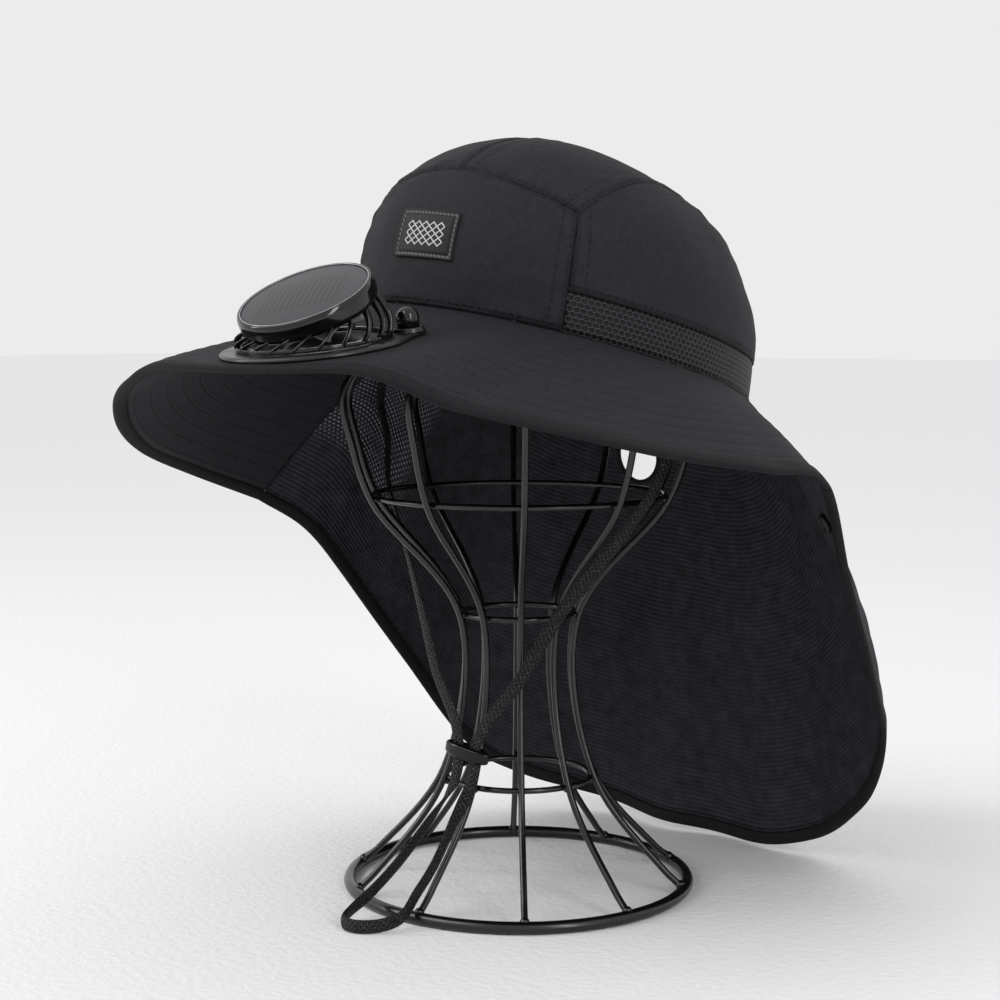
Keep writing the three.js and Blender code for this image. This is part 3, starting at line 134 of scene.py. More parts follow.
WIRE_COUNT, WIRE_RADIUS, RING_WIRE_RADIUS, BASE_WIRE_RADIUS = 10, 1.55, 1.35, 2.8
WIRE_START, WIRE_SLOPE = 2, 42
DOME_RADIUS, DOME_FOOT, DOME_RISE = 83.5, 231, 103.3
RINGS = {
    "base": (79.2, 2.8, BASE_WIRE_RADIUS),
    "lower": (33.6, 51.5, RING_WIRE_RADIUS),
    "waist": (25.4, 128.2, RING_WIRE_RADIUS),
    "upper": (67.4, 183.2, RING_WIRE_RADIUS),
    "top": (13, 334.3, RING_WIRE_RADIUS),
}
CAMERA_AZIMUTH, CAMERA_DISTANCE, CAMERA_HEIGHT = 36, 875.3, 259.9
CAMERA_TILT, CAMERA_TURN = 5.18, 0.57

# Marks in the looks
THREAD_COLOUR, STITCH_SHARE = "#0f0f11", 0.66
MESH_PITCH, MESH_HOLE = 3, 0.42
RIB_STEP = 2.3  # a ribbed cloth's rib over its weave
CELL_FIELD, CELL_TURN = (17, 13), -24

# Soft forms and thin walls in millimetres
WELT_DEPTH, WELT_RISE, PANEL_SAG = 0.45, 0.35, 1.6
BRIM_WAVE, QUILT_DEPTH, FIRST_STITCH, STITCH_ROWS = 1.3, 0.25, 4, 11
MESH_WALL, FLAP_WALL, THIN_WALL = 1.2, 0.9, 0.9
PIPING, SEAM_TAPE, HEM = 0.9, 2.3, (2.6, 2.2)


def heading(azimuth):
    """A level direction counted from the front towards the wearer's left."""
    angle = math.radians(azimuth)
    return Vector((math.sin(angle), -math.cos(angle), 0))


BUTTON_FRAME = FAN_FRAME @ Matrix.Translation(heading(BUTTON_PLACE[0]) * BUTTON_PLACE[1])


def smooth(value):
    share = min(max(value, 0), 1)
    return share * share * (3 - 2 * share)


def mix(a, b, share):
    return a + (b - a) * share


def spread(start, end, steps):
    return [mix(start, end, index / steps) for index in range(steps + 1)]


def runs(points):
    """The length of a line up to each of its points."""
    lengths = [0]
    for a, b in zip(points, points[1:]):
        lengths.append(lengths[-1] + (b - a).length)
    return lengths


def length_from(line, start):
    """The length of a line from one of its points to its end."""
    return sum((b - a).length for a, b in zip(line[start:], line[start + 1:]))


def place_in_row(point):
    """From millimetres at the stand's foot to metres in the row's frame."""
    return (Vector(point) + SHIFT) * MM


def look_up(rows, source, target, value):
    for low, high in zip(rows, rows[1:]):
        if high[source] >= value:
            break
    return mix(low[target], high[target], (value - low[source]) / (high[source] - low[source]))


def read_table(column, value):
    """A smooth reading of the free edge's table."""
    rows = FREE_EDGE
    index = next((i for i, row in enumerate(rows) if row[0] >= value), len(rows) - 1)
    index = max(index, 1)
    before, low, high = rows[max(index - 2, 0)], rows[index - 1], rows[index]
    after = rows[min(index + 1, len(rows) - 1)]
    width = high[0] - low[0]
    share = (value - low[0]) / width
    slope_low = (high[column] - before[column]) / max(high[0] - before[0], 1) * width
    slope_high = (after[column] - low[column]) / max(after[0] - low[0], 1) * width
    square, cube = share * share, share**3
    return (
        (2 * cube - 3 * square + 1) * low[column]
        + (cube - 2 * square + share) * slope_low
        + (3 * square - 2 * cube) * high[column]
        + (cube - square) * slope_high
    )


# The crown's surface


def crown_radius_share(height):
    return max(1 - height**CROWN_SHOULDER, 0) ** CROWN_DOME


def make_profile():
    mean = (CROWN_HALF_WIDTH + CROWN_HALF_LENGTH) / 2
    heights = [math.sin(math.radians(angle)) for angle in spread(0, 90, 60)]
    lengths = [0]
    for low, high in zip(heights, heights[1:]):
        inward = (crown_radius_share(low) - crown_radius_share(high)) * mean
        lengths.append(lengths[-1] + math.hypot(inward, (high - low) * CROWN_HEIGHT))
    return [(height, length / lengths[-1]) for height, length in zip(heights, lengths)]


PROFILE = make_profile()


def chart_point(azimuth, height):
    """A flat chart of the crown: its top at the origin, its base on the unit circle."""
    return heading(azimuth).to_2d() * (1 - look_up(PROFILE, 0, 1, height))


def crown_point(chart):
    """The crown's outer surface at a point of its chart, before the crown is seated."""
    radius = min(chart.length, 1)
    height = look_up(PROFILE, 1, 0, 1 - radius)
    reach = crown_radius_share(height) / radius if radius > 0 else 0
    rise = height * CROWN_HEIGHT
    return Vector((
        chart.x * reach * CROWN_HALF_WIDTH,
        chart.y * reach * CROWN_HALF_LENGTH - CROWN_LEAN * rise,
        rise,
    ))


def crown_normal(point):
    x = point.x / CROWN_HALF_WIDTH
    y = (point.y + CROWN_LEAN * point.z) / CROWN_HALF_LENGTH
    radius = max(math.hypot(x, y), 0.01)
    pull = radius ** (1 / CROWN_DOME - 2) / CROWN_DOME
    rise = max(point.z / CROWN_HEIGHT, 0) ** (CROWN_SHOULDER - 1) * CROWN_SHOULDER / CROWN_HEIGHT
    lean = pull * y / CROWN_HALF_LENGTH
    return Vector((pull * x / CROWN_HALF_WIDTH, lean, lean * CROWN_LEAN + rise)).normalized()


def crown_outward(point):
    """The outward direction at a point of the seated crown."""
    return CROWN_FRAME.to_3x3() @ crown_normal(CROWN_FRAME.inverted() @ point)


def seam_points(places, steps):
    """Evenly spaced chart points along a seam through a table's places."""
    points = [chart_point(*place) for place in places]
    dense = []
    for index in range(len(points) - 1):
        p0, p1, p2 = points[max(index - 1, 0)], points[index], points[index + 1]
        p3 = points[min(index + 2, len(points) - 1)]
        v0, v1 = (p2 - p0) / 2, (p3 - p1) / 2
        for t in spread(0, 1, 24)[:-1]:
            cube, square = 2 * p1 - 2 * p2 + v0 + v1, 3 * p2 - 3 * p1 - 2 * v0 - v1
            dense.append(cube * t**3 + square * t * t + v0 * t + p1)
    dense.append(points[-1])
    return resample(dense, steps)


def resample(points, shares):
    """Points at even steps, or at given shares, of a line's length."""
    if isinstance(shares, int):
        shares = spread(0, 1, shares)
    lengths = runs(points)
    result, index = [], 0
    for share in shares:
        target = share * lengths[-1]
        while index < len(points) - 2 and lengths[index + 1] < target:
            index += 1
        span = max(lengths[index + 1] - lengths[index], 1e-9)
        result.append(points[index].lerp(points[index + 1], (target - lengths[index]) / span))
    return result


def mirrored(points):
    return [Vector((-point.x, point.y)) for point in points]


def patch_point(borders, i, j, u, v):
    """A point between four border curves that meet at their corners."""
    bottom, top, left, right = borders
    return (
        bottom[i] * (1 - v) + top[i] * v + left[j] * (1 - u) + right[j] * u
        - bottom[0] * (1 - u) * (1 - v) - bottom[-1] * u * (1 - v) - top[0] * (1 - u) * v - top[-1] * u * v
    )


# The brim and the flap


def root_point(at):
    """Where the cloth leaves the crown's base, in the middle of its thickness."""
    base = crown_point(chart_point(at, 0))
    base -= base.normalized() * CROWN_WALL / 2
    base.z = -0.15 - BRIM_THICKNESS / 2
    return CROWN_FRAME @ base


def edge_point(at):
    """The cloth's free edge for a place on the crown's base."""
    edge = read_table(1, at)
    fall = read_table(3, at) * BRIM_WIDTH + read_table(4, at) * FLAP_LENGTH
    return root_point(edge) + heading(edge) * read_table(2, at) * BRIM_WIDTH - Vector((0, 0, fall))


def flap_share(at):
    """0 on the brim, 1 on the flap, with a soft change behind the end seams."""
    return smooth((abs(at - 180) - (180 - END_SEAM)) / -50)


def cloth_point(at, share, ends=None):
    """The cloth between the crown, at share 0, and its free edge, at share 1."""
    root, edge = ends or (root_point(at), edge_point(at))
    back = flap_share(at)
    out = 1 - (1 - share) ** mix(1, 2.2, back)
    down = share ** mix(1.25, 1, back)
    point = Vector((mix(root.x, edge.x, out), mix(root.y, edge.y, out), mix(root.z, edge.z, down)))
    wave = math.sin(math.radians((at - END_SEAM) * WAVE_RATE)) * WAVE_REACH * back * share
    point += heading(at) * wave
    distance = math.hypot(point.x - FAN_PLACE.x, point.y - FAN_PLACE.y)
    plane = FAN_PLACE.z + math.tan(FAN_TILT) * (point.y - FAN_PLACE.y) - BRIM_THICKNESS / 2
    flat = (1 - smooth((distance - FLAT_RADIUS) / FLAT_BLEND)) * smooth(share / 0.14)
    point.z = mix(point.z, plane, flat)
    return point


def share_before_edge(at, width):
    """The share at which the cloth is a width short of its free edge."""
    along = edge_point(at + 1) - edge_point(at - 1)
    inward = cloth_point(at, 0.9) - edge_point(at)
    sine = max(along.normalized().cross(inward.normalized()).length, 0.5)
    return 1 - width / sine / (inward.length * 10)


# Lines in space


def catmull(points, steps):
    """A centripetal curve through points, with even steps on each span."""
    points = [Vector(point) for point in points]
    ends = [points[0] * 2 - points[1], *points, points[-1] * 2 - points[-2]]
    result = []
    for p0, p1, p2, p3 in zip(ends, ends[1:], ends[2:], ends[3:]):
        d0, d1, d2 = [max((b - a).length, 1e-6) ** 0.5 for a, b in ((p0, p1), (p1, p2), (p2, p3))]
        t1 = ((p1 - p0) / d0 - (p2 - p0) / (d0 + d1) + (p2 - p1) / d1) * d1
        t2 = ((p2 - p1) / d1 - (p3 - p1) / (d1 + d2) + (p3 - p2) / d2) * d1
        for t in spread(0, 1, steps)[:-1]:
            result.append(
                p1 + t1 * t + (3 * (p2 - p1) - 2 * t1 - t2) * t * t + (2 * (p1 - p2) + t1 + t2) * t**3
            )
    result.append(points[-1])
    return result


def strap_face(point):
    """The way the strap's flat side looks: forward on the slider, outward on the crown and round the loop."""
    side = smooth((point.z - SLIDER_PLACE.z) / (CROWN_PLACE.z - SLIDER_PLACE.z))
    if point.z > SLIDER_PLACE.z - SLIDER_HEIGHT:
        return Vector((math.copysign(side, point.x), side - 1, 0))
    middle = LOOP_MIDDLE[0] * (1 - point.z / SLIDER_PLACE.z)
    tip = smooth((LOOP_MIDDLE[1] + LOOP_TIP - point.y) / (2 * LOOP_TIP))
    outward = Vector((point.x - middle, (point.y - LOOP_MIDDLE[1]) * tip, 0)).normalized()
    turn = smooth((SLIDER_PLACE.z - SLIDER_HEIGHT - point.z) / LOOP_TURN)
    return Vector((0, turn - 1, 0)) + outward * turn


def wire_path():
    """One wire's line from the base ring, past the waist and over the dome to the top ring."""
    reach = RING_WIRE_RADIUS + WIRE_RADIUS + GAP
    foot = BASE_WIRE_RADIUS + GAP

    def beside(name, lean):
        radius, height, _ = RINGS[name]
        angle = math.radians(lean)
        return (radius + math.cos(angle) * reach, 0, height - math.sin(angle) * reach)

    def up_from_foot(distance):
        radius, height, _ = RINGS["base"]
        slope = math.radians(WIRE_SLOPE)
        return (radius - math.cos(slope) * distance, 0, height + math.sin(slope) * distance)

    def dome(radius, rise):
        return (DOME_RADIUS * radius, 0, DOME_FOOT + DOME_RISE * rise)

    top_radius, top_height, _ = RINGS["top"]
    return catmull([
        up_from_foot(foot - 1.2), up_from_foot(foot + 11.2), beside("lower", -22), beside("waist", 14),
        beside("upper", 31), dome(0.955, -0.22), dome(1, 0), dome(0.8, 0.24), dome(0.56, 0.68),
        (top_radius + RING_WIRE_RADIUS + GAP, 0, top_height),
    ], 12)


# Mesh making


def link(name, data):
    made = bpy.data.objects.new(name, data)
    bpy.context.scene.collection.objects.link(made)
    return made


def new_object(bm, name, matrix=None):
    """An object of a bmesh whose points are millimetres at the stand's foot."""
    if matrix is not None:
        bmesh.ops.transform(bm, matrix=matrix, verts=bm.verts)
    bmesh.ops.translate(bm, vec=SHIFT, verts=bm.verts)
    bmesh.ops.scale(bm, vec=(MM, MM, MM), verts=bm.verts)
    mesh = bpy.data.meshes.new(name)
    bm.to_mesh(mesh)
    bm.free()
    return link(name, mesh)


def finish_piece(bm, name, material, nodes=(), matrix=None, body=BODY):
    """Makes a visible piece of a bmesh, hides the solids that it stands for and puts it in its body."""
    piece = new_object(bm, name, matrix)
    piece.data.materials.append(material)
    piece.data.shade_smooth()
    if nodes:
        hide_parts(*nodes)
    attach(piece, body)
    return piece


def grid_surface(bm, columns, rows, place):
    """A grid of quads moved to place(i, j), which gives a point and up to two UV pairs."""
    before = set(bm.verts)
    bmesh.ops.create_grid(bm, x_segments=columns, y_segments=rows, size=1)
    verts = [vert for vert in bm.verts if vert not in before]
    layers = [bm.loops.layers.uv.get(name) or bm.loops.layers.uv.new(name) for name in ("weave", "seam")]
    facts = {}
    for vert in verts:
        i, j = round((vert.co.x + 1) / 2 * columns), round((vert.co.y + 1) / 2 * rows)
        vert.co, *facts[vert] = place(i, j)
    for face in {face for vert in verts for face in vert.link_faces}:
        for loop in face.loops:
            for layer, pair in zip(layers, facts[loop.vert]):
                loop[layer].uv = pair


def join_seam(bm):
    """Joins the points where a grid's sides meet."""
    bmesh.ops.remove_doubles(bm, verts=bm.verts, dist=1e-4)


def face_out(bm, outward):
    """Turns the faces to look the way that outward(point) gives."""
    bm.normal_update()
    if sum(face.normal.dot(outward(face.calc_center_median())) for face in bm.faces) < 0:
        bmesh.ops.reverse_faces(bm, faces=bm.faces)


def thicken(piece, thickness, offset=-1):
    """Gives a sheet its wall: inwards, or on both sides with offset 0."""
    wall = piece.modifiers.new("wall", "SOLIDIFY")
    wall.thickness = thickness * MM
    wall.offset = offset


def lathe(bm, profile, steps):
    """A full turn of a profile of (radius, height) pairs about Z."""
    verts = [bm.verts.new((radius, 0, height)) for radius, height in profile]
    edges = [bm.edges.new(pair) for pair in zip(verts, verts[1:])]
    bmesh.ops.spin(
        bm, geom=verts + edges, cent=(0, 0, 0), axis=(0, 0, 1), angle=2 * math.pi, steps=steps, use_merge=True,
    )
    bmesh.ops.remove_doubles(bm, verts=bm.verts, dist=1e-3)
    bmesh.ops.recalc_face_normals(bm, faces=bm.faces)


def turned_piece(name, profile, steps, material, nodes=(), matrix=None, body=BODY):
    bm = bmesh.new()
    lathe(bm, profile, steps)
    return finish_piece(bm, name, material, nodes, matrix, body)


def tube(bm, path, section, frames=None, closed=False):
    """A tube with a section given as (across, up) pairs, along a path."""
    count = len(section)
    lengths = runs(path + path[:1])
    frames = frames or carried_frames(path, closed)

    def place(i, j):
        across, up = frames[j % len(path)]
        x, y = section[i % count]
        return path[j % len(path)] + across * x + up * y, (i / count, lengths[j] * MM)

    grid_surface(bm, count, len(path) if closed else len(path) - 1, place)
    join_seam(bm)
    if not closed:
        bmesh.ops.holes_fill(bm, edges=[edge for edge in bm.edges if edge.is_boundary], sides=count + 1)
    bmesh.ops.recalc_face_normals(bm, faces=bm.faces)


def tube_piece(name, path, section, material, nodes=(), frames=None, closed=False):
    bm = bmesh.new()
    tube(bm, path, section, frames, closed)
    return finish_piece(bm, name, material, nodes)


def carried_frames(path, closed=False):
    """Sections carried along a path without twist."""
    frames = []
    across = None
    for index in range(len(path)):
        after = path[(index + 1) % len(path)] if closed else path[min(index + 1, len(path) - 1)]
        before = path[index - 1] if closed else path[max(index - 1, 0)]
        tangent = (after - before).normalized()
        if across is None:
            across = tangent.orthogonal()
        across = (across - tangent * across.dot(tangent)).normalized()
        frames.append((across.copy(), tangent.cross(across)))
    return frames


def ring_path(radius, height, steps):
    return [heading(360 * i / steps) * radius + Vector((0, 0, height)) for i in range(steps)]


def oval(width, height, sides):
    return [
        (math.cos(2 * math.pi * i / sides) * width / 2, math.sin(2 * math.pi * i / sides) * height / 2)
        for i in range(sides)
    ]


def rounded(corners, radius, steps=4):
    """A lathe profile with its inner corners rounded."""
    result = [Vector(corners[0])]
    for before, corner, after in zip(corners, corners[1:], corners[2:]):
        corner = Vector(corner)
        into, out = Vector(before) - corner, Vector(after) - corner
        reach = min(radius, into.length * 0.45, out.length * 0.45)
        a, b = corner + into.normalized() * reach, corner + out.normalized() * reach
        for t in spread(0, 1, steps):
            result.append(a * (1 - t) ** 2 + corner * 2 * t * (1 - t) + b * t * t)
    result.append(Vector(corners[-1]))
    return [tuple(point) for point in result]


def bake_modifiers(piece):
    """Keeps a piece's modifiers in its mesh."""
    evaluated = piece.evaluated_get(bpy.context.evaluated_depsgraph_get())
    mesh = bpy.data.meshes.new_from_object(evaluated)
    piece.modifiers.clear()
    piece.data = mesh


def cut_with(piece, bm, matrix):
    """Cuts a solid of millimetres out of a piece."""
    cutter = new_object(bm, "cutter", matrix)
    modifier = piece.modifiers.new("hole", "BOOLEAN")
    modifier.operation = "DIFFERENCE"
    modifier.solver = "EXACT"
    modifier.object = cutter
    bake_modifiers(piece)
    bpy.data.objects.remove(cutter)


def cut_round(piece, radius, depth, segments, matrix):
    bm = bmesh.new()
    bmesh.ops.create_cone(bm, cap_ends=True, segments=segments, radius1=radius, radius2=radius, depth=depth)
    cut_with(piece, bm, matrix)


# Materials


def colour(hex_value):
    """An sRGB hex value as linear red, green, blue and alpha."""
    parts = [int(hex_value[i : i + 2], 16) / 255 for i in (1, 3, 5)]
    return tuple(p / 12.92 if p <= 0.04045 else ((p + 0.055) / 1.055) ** 2.4 for p in parts) + (1,)


def add(tree, kind, inputs=None, **settings):
    """Adds a node with its settings, and links or sets its inputs."""
    made = tree.nodes.new(kind)
    for key, value in settings.items():
        setattr(made, key, value)
    for socket, value in (inputs or {}).items():
        if isinstance(value, bpy.types.Node):
            value = value.outputs[0]
        if isinstance(value, bpy.types.NodeSocket):
            tree.links.new(value, made.inputs[socket])
        else:
            made.inputs[socket].default_value = value
    return made


def new_tree(name):
    material = bpy.data.materials.new(name)
    material.use_nodes = True
    material.node_tree.nodes.clear()
    return material, material.node_tree


def finish_material(material, tree, paint, roughness, specular, normal=None):
    """Ends a material in one shader and gives the material."""
    inputs = {"Base Color": paint, "Roughness": roughness, "Specular IOR Level": specular}
    if normal is not None:
        inputs["Normal"] = normal
    shader = add(tree, "ShaderNodeBsdfPrincipled", inputs)
    add(tree, "ShaderNodeOutputMaterial", {"Surface": shader})
    return material


def calc(tree, operation, *values):
    """The result of a math node."""
    return add(tree, "ShaderNodeMath", dict(enumerate(values)), operation=operation).outputs[0]


def ramp(tree, value, start, end, low=0, high=1):
    """Goes from low to high while a value goes from start to end."""
    inputs = {"Value": value, "From Min": start, "From Max": end, "To Min": low, "To Max": high}
    return add(tree, "ShaderNodeMapRange", inputs).outputs[0]


def measures(tree, layer):
    """The two lengths in metres that a UV layer holds."""
    parts = add(tree, "ShaderNodeSeparateXYZ", {0: add(tree, "ShaderNodeUVMap", uv_map=layer)})
    return parts.outputs["X"], parts.outputs["Y"]


def speckle(tree, scale, detail=2, roughness=0.5):
    """Noise on the object's coordinates; its features are about 1 / scale metres wide."""
    place = add(tree, "ShaderNodeTexCoord").outputs["Object"]
    inputs = {"Vector": place, "Scale": scale, "Detail": detail, "Roughness": roughness}
    return add(tree, "ShaderNodeTexNoise", inputs).outputs[0]


def raised(tree, height, strength, distance, under=None):
    """A bump of a distance in millimetres, over another bump if there is one."""
    inputs = {"Height": height, "Strength": strength, "Distance": distance * MM}
    if under is not None:
        inputs["Normal"] = under
    return add(tree, "ShaderNodeBump", inputs)


def toned(tree, base, tone):
    return add(tree, "ShaderNodeVectorMath", {0: base[:3], "Scale": tone}, operation="SCALE").outputs[0]


def mixed(tree, factor, low, high):
    """Mixes two colours by a factor and gives the colour socket."""
    blend = add(tree, "ShaderNodeMix", {"Factor": factor}, data_type="RGBA")
    ends = [socket for socket in blend.inputs if socket.type == "RGBA"]
    for socket, value in zip(ends, (low, high)):
        if isinstance(value, bpy.types.NodeSocket):
            tree.links.new(value, socket)
        else:
            socket.default_value = value
    return next(socket for socket in blend.outputs if socket.type == "RGBA")


def sine(tree, value, period):
    """A wave along a length in metres, with its period in millimetres."""
    return calc(tree, "SINE", calc(tree, "MULTIPLY", value, 2 * math.pi / (period * MM)))


def repeated(tree, value, pitch):
    """Goes from 0 to 1 over each pitch of a length, in millimetres."""
    return calc(tree, "FRACT", calc(tree, "DIVIDE", value, pitch * MM))


def kept_within(tree, mask, run, halves):
    """Keeps a mask inside a rectangle of half sizes in millimetres."""
    for value, half in zip(run, halves):
        inside = calc(tree, "LESS_THAN", calc(tree, "ABSOLUTE", value), half * MM)
        mask = calc(tree, "MULTIPLY", mask, inside)
    return mask


def stitches(tree, across, along, first, spacing, rows, pitch=3.4, thread=0.7):
    """1 on the threads of dashed rows of stitching; sizes in millimetres."""
    step = calc(tree, "DIVIDE", calc(tree, "SUBTRACT", across, first * MM), spacing * MM)
    row = add(tree, "ShaderNodeClamp", {"Value": calc(tree, "ROUND", step), "Min": 0, "Max": rows - 1})
    away = calc(tree, "ABSOLUTE", calc(tree, "SUBTRACT", step, row))
    line = ramp(tree, away, thread / spacing / 2, thread / spacing, 1, 0)
    dash = calc(tree, "LESS_THAN", repeated(tree, along, pitch), STITCH_SHARE)
    return calc(tree, "MULTIPLY", line, dash)


def cell_distance(tree, across, along, pitch, row_height):
    """Distance from the middle of staggered cells, in shares of a cell."""
    rows = calc(tree, "DIVIDE", along, row_height * MM)
    odd = calc(tree, "FLOORED_MODULO", calc(tree, "FLOOR", rows), 2)
    columns = calc(tree, "ADD", calc(tree, "DIVIDE", across, pitch * MM), calc(tree, "MULTIPLY", odd, 0.5))
    parts = [calc(tree, "SUBTRACT", calc(tree, "FRACT", value), 0.5) for value in (columns, rows)]
    offset = add(tree, "ShaderNodeCombineXYZ", {"X": parts[0], "Y": parts[1]})
    return add(tree, "ShaderNodeVectorMath", {0: offset}, operation="LENGTH").outputs["Value"]


def cloth_material(name, base, wrinkle, rows=(), rib=0.9, ribbed=False, holes=None):
    """Woven polyester: a dull close weave, soft creases and dark topstitching pulled into the cloth.

    rows lists stitching as (SIDE or END, first, spacing, rows) with sizes in millimetres. A ribbed cloth has
    level ribs, with painted shade in their troughs and painted light on their crests. holes gives how far a
    perforated panel reaches from the side seam and from the free edge.
    """
    material, tree = new_tree(name)
    run, seam = measures(tree, "weave"), measures(tree, "seam")
    scale, roughness, low, high, depth = (140, 0.75, 0.55, 1.45, 0.3) if ribbed else (380, 0.65, 0.8, 1.2, 0.06)
    weft, warp = sine(tree, run[1], rib * (RIB_STEP if ribbed else 1)), sine(tree, run[0], rib)
    weave = calc(tree, "MULTIPLY", weft, warp)
    tone = ramp(tree, speckle(tree, scale, 4, roughness), 0.3, 0.7, low, high)
    if ribbed:
        weave = calc(tree, "ADD", calc(tree, "MULTIPLY", weave, 0.35), weft)
        # painted shade in the ribs' troughs and painted light on their crests: the tone follows the rib's
        # height
        tone = calc(tree, "MULTIPLY", tone, ramp(tree, weft, -1, 1, 0.74, 1.2))
    paint = toned(tree, base, tone)
    bump = raised(tree, speckle(tree, 26, 3, 0.45), strength=wrinkle, distance=4)
    bump = raised(tree, weave, strength=0.6, distance=depth, under=bump)
    if rows:
        lines = [
            stitches(tree, seam[side], run[1 - side], first, spacing, count)
            for side, first, spacing, count in rows
        ]
        mask = lines[0]
        for line in lines[1:]:
            mask = calc(tree, "MAXIMUM", mask, line)
        paint = mixed(tree, calc(tree, "MULTIPLY", mask, 0.5), paint, colour(THREAD_COLOUR))
        bump = raised(tree, calc(tree, "MULTIPLY", mask, -1), strength=0.8, distance=0.3, under=bump)
    if holes:
        dot = ramp(tree, cell_distance(tree, *run, 2.4, 1.9), 0.3, 0.16)
        for value, limit, sign in zip(seam, holes, (1, -1)):
            over = calc(tree, "SUBTRACT", calc(tree, "MULTIPLY", value, sign), limit * sign * MM)
            dot = calc(tree, "MULTIPLY", dot, ramp(tree, over, 4 * MM, -4 * MM))
        paint = mixed(tree, dot, paint, colour("#7d7d84"))
    return finish_material(material, tree, paint, roughness=0.72, specular=0.16, normal=bump)


def air_mesh_material(name, base, hole_shade):
    """Knitted air mesh: raised cords round oval holes filled with painted shade, drawn at its real pitch."""
    material, tree = new_tree(name)
    away = cell_distance(tree, *measures(tree, "weave"), MESH_PITCH, MESH_PITCH * 0.72)
    cord = ramp(tree, away, MESH_HOLE * 0.8, MESH_HOLE * 1.25)
    # painted shade fills the holes between the cords
    paint = mixed(tree, cord, hole_shade, base)
    bump = raised(tree, cord, strength=0.9, distance=0.6)
    return finish_material(material, tree, paint, roughness=0.6, specular=0.25, normal=bump)


def plain_material(name, base, roughness, grain=900, depth=0.02, specular=0.3, smudge=0.06):
    """Moulded or painted surfaces: an even tone with a fine grain and slightly uneven gloss."""
    material, tree = new_tree(name)
    gloss = ramp(tree, speckle(tree, 60, 3), 0.3, 0.7, roughness - smudge, roughness + smudge)
    bump = raised(tree, speckle(tree, grain), strength=0.4, distance=depth)
    return finish_material(material, tree, base, gloss, specular, bump)


def floor_material(name, base):
    """Short pale fleece with painted shade that darkens it a little far out, where it meets the backdrop."""
    material, tree = new_tree(name)
    place = add(tree, "ShaderNodeTexCoord").outputs["Object"]
    reach = add(tree, "ShaderNodeVectorMath", {0: place}, operation="LENGTH").outputs["Value"]
    # painted shade: the floor's colour darkens a little with distance from the middle
    paint = toned(tree, base, ramp(tree, reach, 0.3, 1.3, 1, 0.955))
    bump = raised(tree, speckle(tree, 260, 3), strength=0.4, distance=1.6)
    return finish_material(material, tree, paint, roughness=0.9, specular=0, normal=bump)


def solar_material(name, base, line):
    """Laminated solar cell: dark silicon with fine darker collector lines under a clear coat."""
    material, tree = new_tree(name)
    run = measures(tree, "weave")
    masks = [
        calc(tree, "LESS_THAN", repeated(tree, value, pitch), width)
        for value, pitch, width in zip(run, (2.4, 13), (0.36, 0.05))
    ]
    lines = kept_within(tree, calc(tree, "MAXIMUM", *masks), run, CELL_FIELD)
    return finish_material(material, tree, mixed(tree, lines, base, line), roughness=0.3, specular=0.3)


def braid_material(name, base, painted_highlight):
    """Flat tubular braid: slanted crossing yarns about 1.2 mm apart, slightly shiny, with painted highlights on
    the yarns' crests and in fine specks.
    """
    material, tree = new_tree(name)
    run = measures(tree, "weave")
    along = calc(tree, "MULTIPLY", run[1], 2 * math.pi / (2.4 * MM))
    around = calc(tree, "MULTIPLY", run[0], 2 * math.pi * 6)
    waves = [calc(tree, "SINE", calc(tree, way, along, around)) for way in ("ADD", "SUBTRACT")]
    yarn = calc(tree, "MAXIMUM", *waves)
    # painted highlights: the yarns' crests and fine specks are mixed toward the light highlight colour
    glint_specks = ramp(tree, speckle(tree, 1500, 2, 0.7), 0.5, 0.66)
    tone = calc(tree, "MULTIPLY", ramp(tree, yarn, 0.2, 1), glint_specks)
    paint = mixed(tree, tone, base, painted_highlight)
    bump = raised(tree, yarn, strength=0.8, distance=0.3)
    return finish_material(material, tree, paint, roughness=0.55, specular=0.25, normal=bump)


def patch_material(name, base, ink):
    """Moulded rubber with a small printed net of lozenges and a stitched border."""
    material, tree = new_tree(name)
    run, seam = measures(tree, "weave"), measures(tree, "seam")
    parts = [
        calc(tree, "ABSOLUTE", calc(tree, "SUBTRACT", repeated(tree, value, pitch), 0.5))
        for value, pitch in zip(run, (4.0, 3.2))
    ]
    away = calc(tree, "ABSOLUTE", calc(tree, "SUBTRACT", calc(tree, "ADD", *parts), 0.5))
    net = kept_within(tree, ramp(tree, away, 0.12, 0.07), run, (10, 5))
    border, slant = calc(tree, "MINIMUM", *seam), calc(tree, "ADD", *run)
    thread = stitches(tree, border, slant, 1.7, 4, 1, pitch=2, thread=0.5)
    print_mask = calc(tree, "MAXIMUM", net, calc(tree, "MULTIPLY", thread, 0.2))
    bump = raised(tree, speckle(tree, 900), strength=0.3, distance=0.03)
    bump = raised(tree, print_mask, strength=0.5, distance=0.15, under=bump)
    paint = mixed(tree, print_mask, base, ink)
    return finish_material(material, tree, paint, roughness=0.55, specular=0.25, normal=bump)


def tape_material():
    """Folded binding tape: one flat weave shared by the edges, the hem and the piping."""
    name = "binding_tape_weave"
    return bpy.data.materials.get(name) or cloth_material(name, colour("#17171a"), 0.1, rib=1.3)


def tape(name, path, section, nodes=(), frames=None, closed=False):
    return tube_piece(name, path, section, tape_material(), nodes, frames, closed)


# Settings


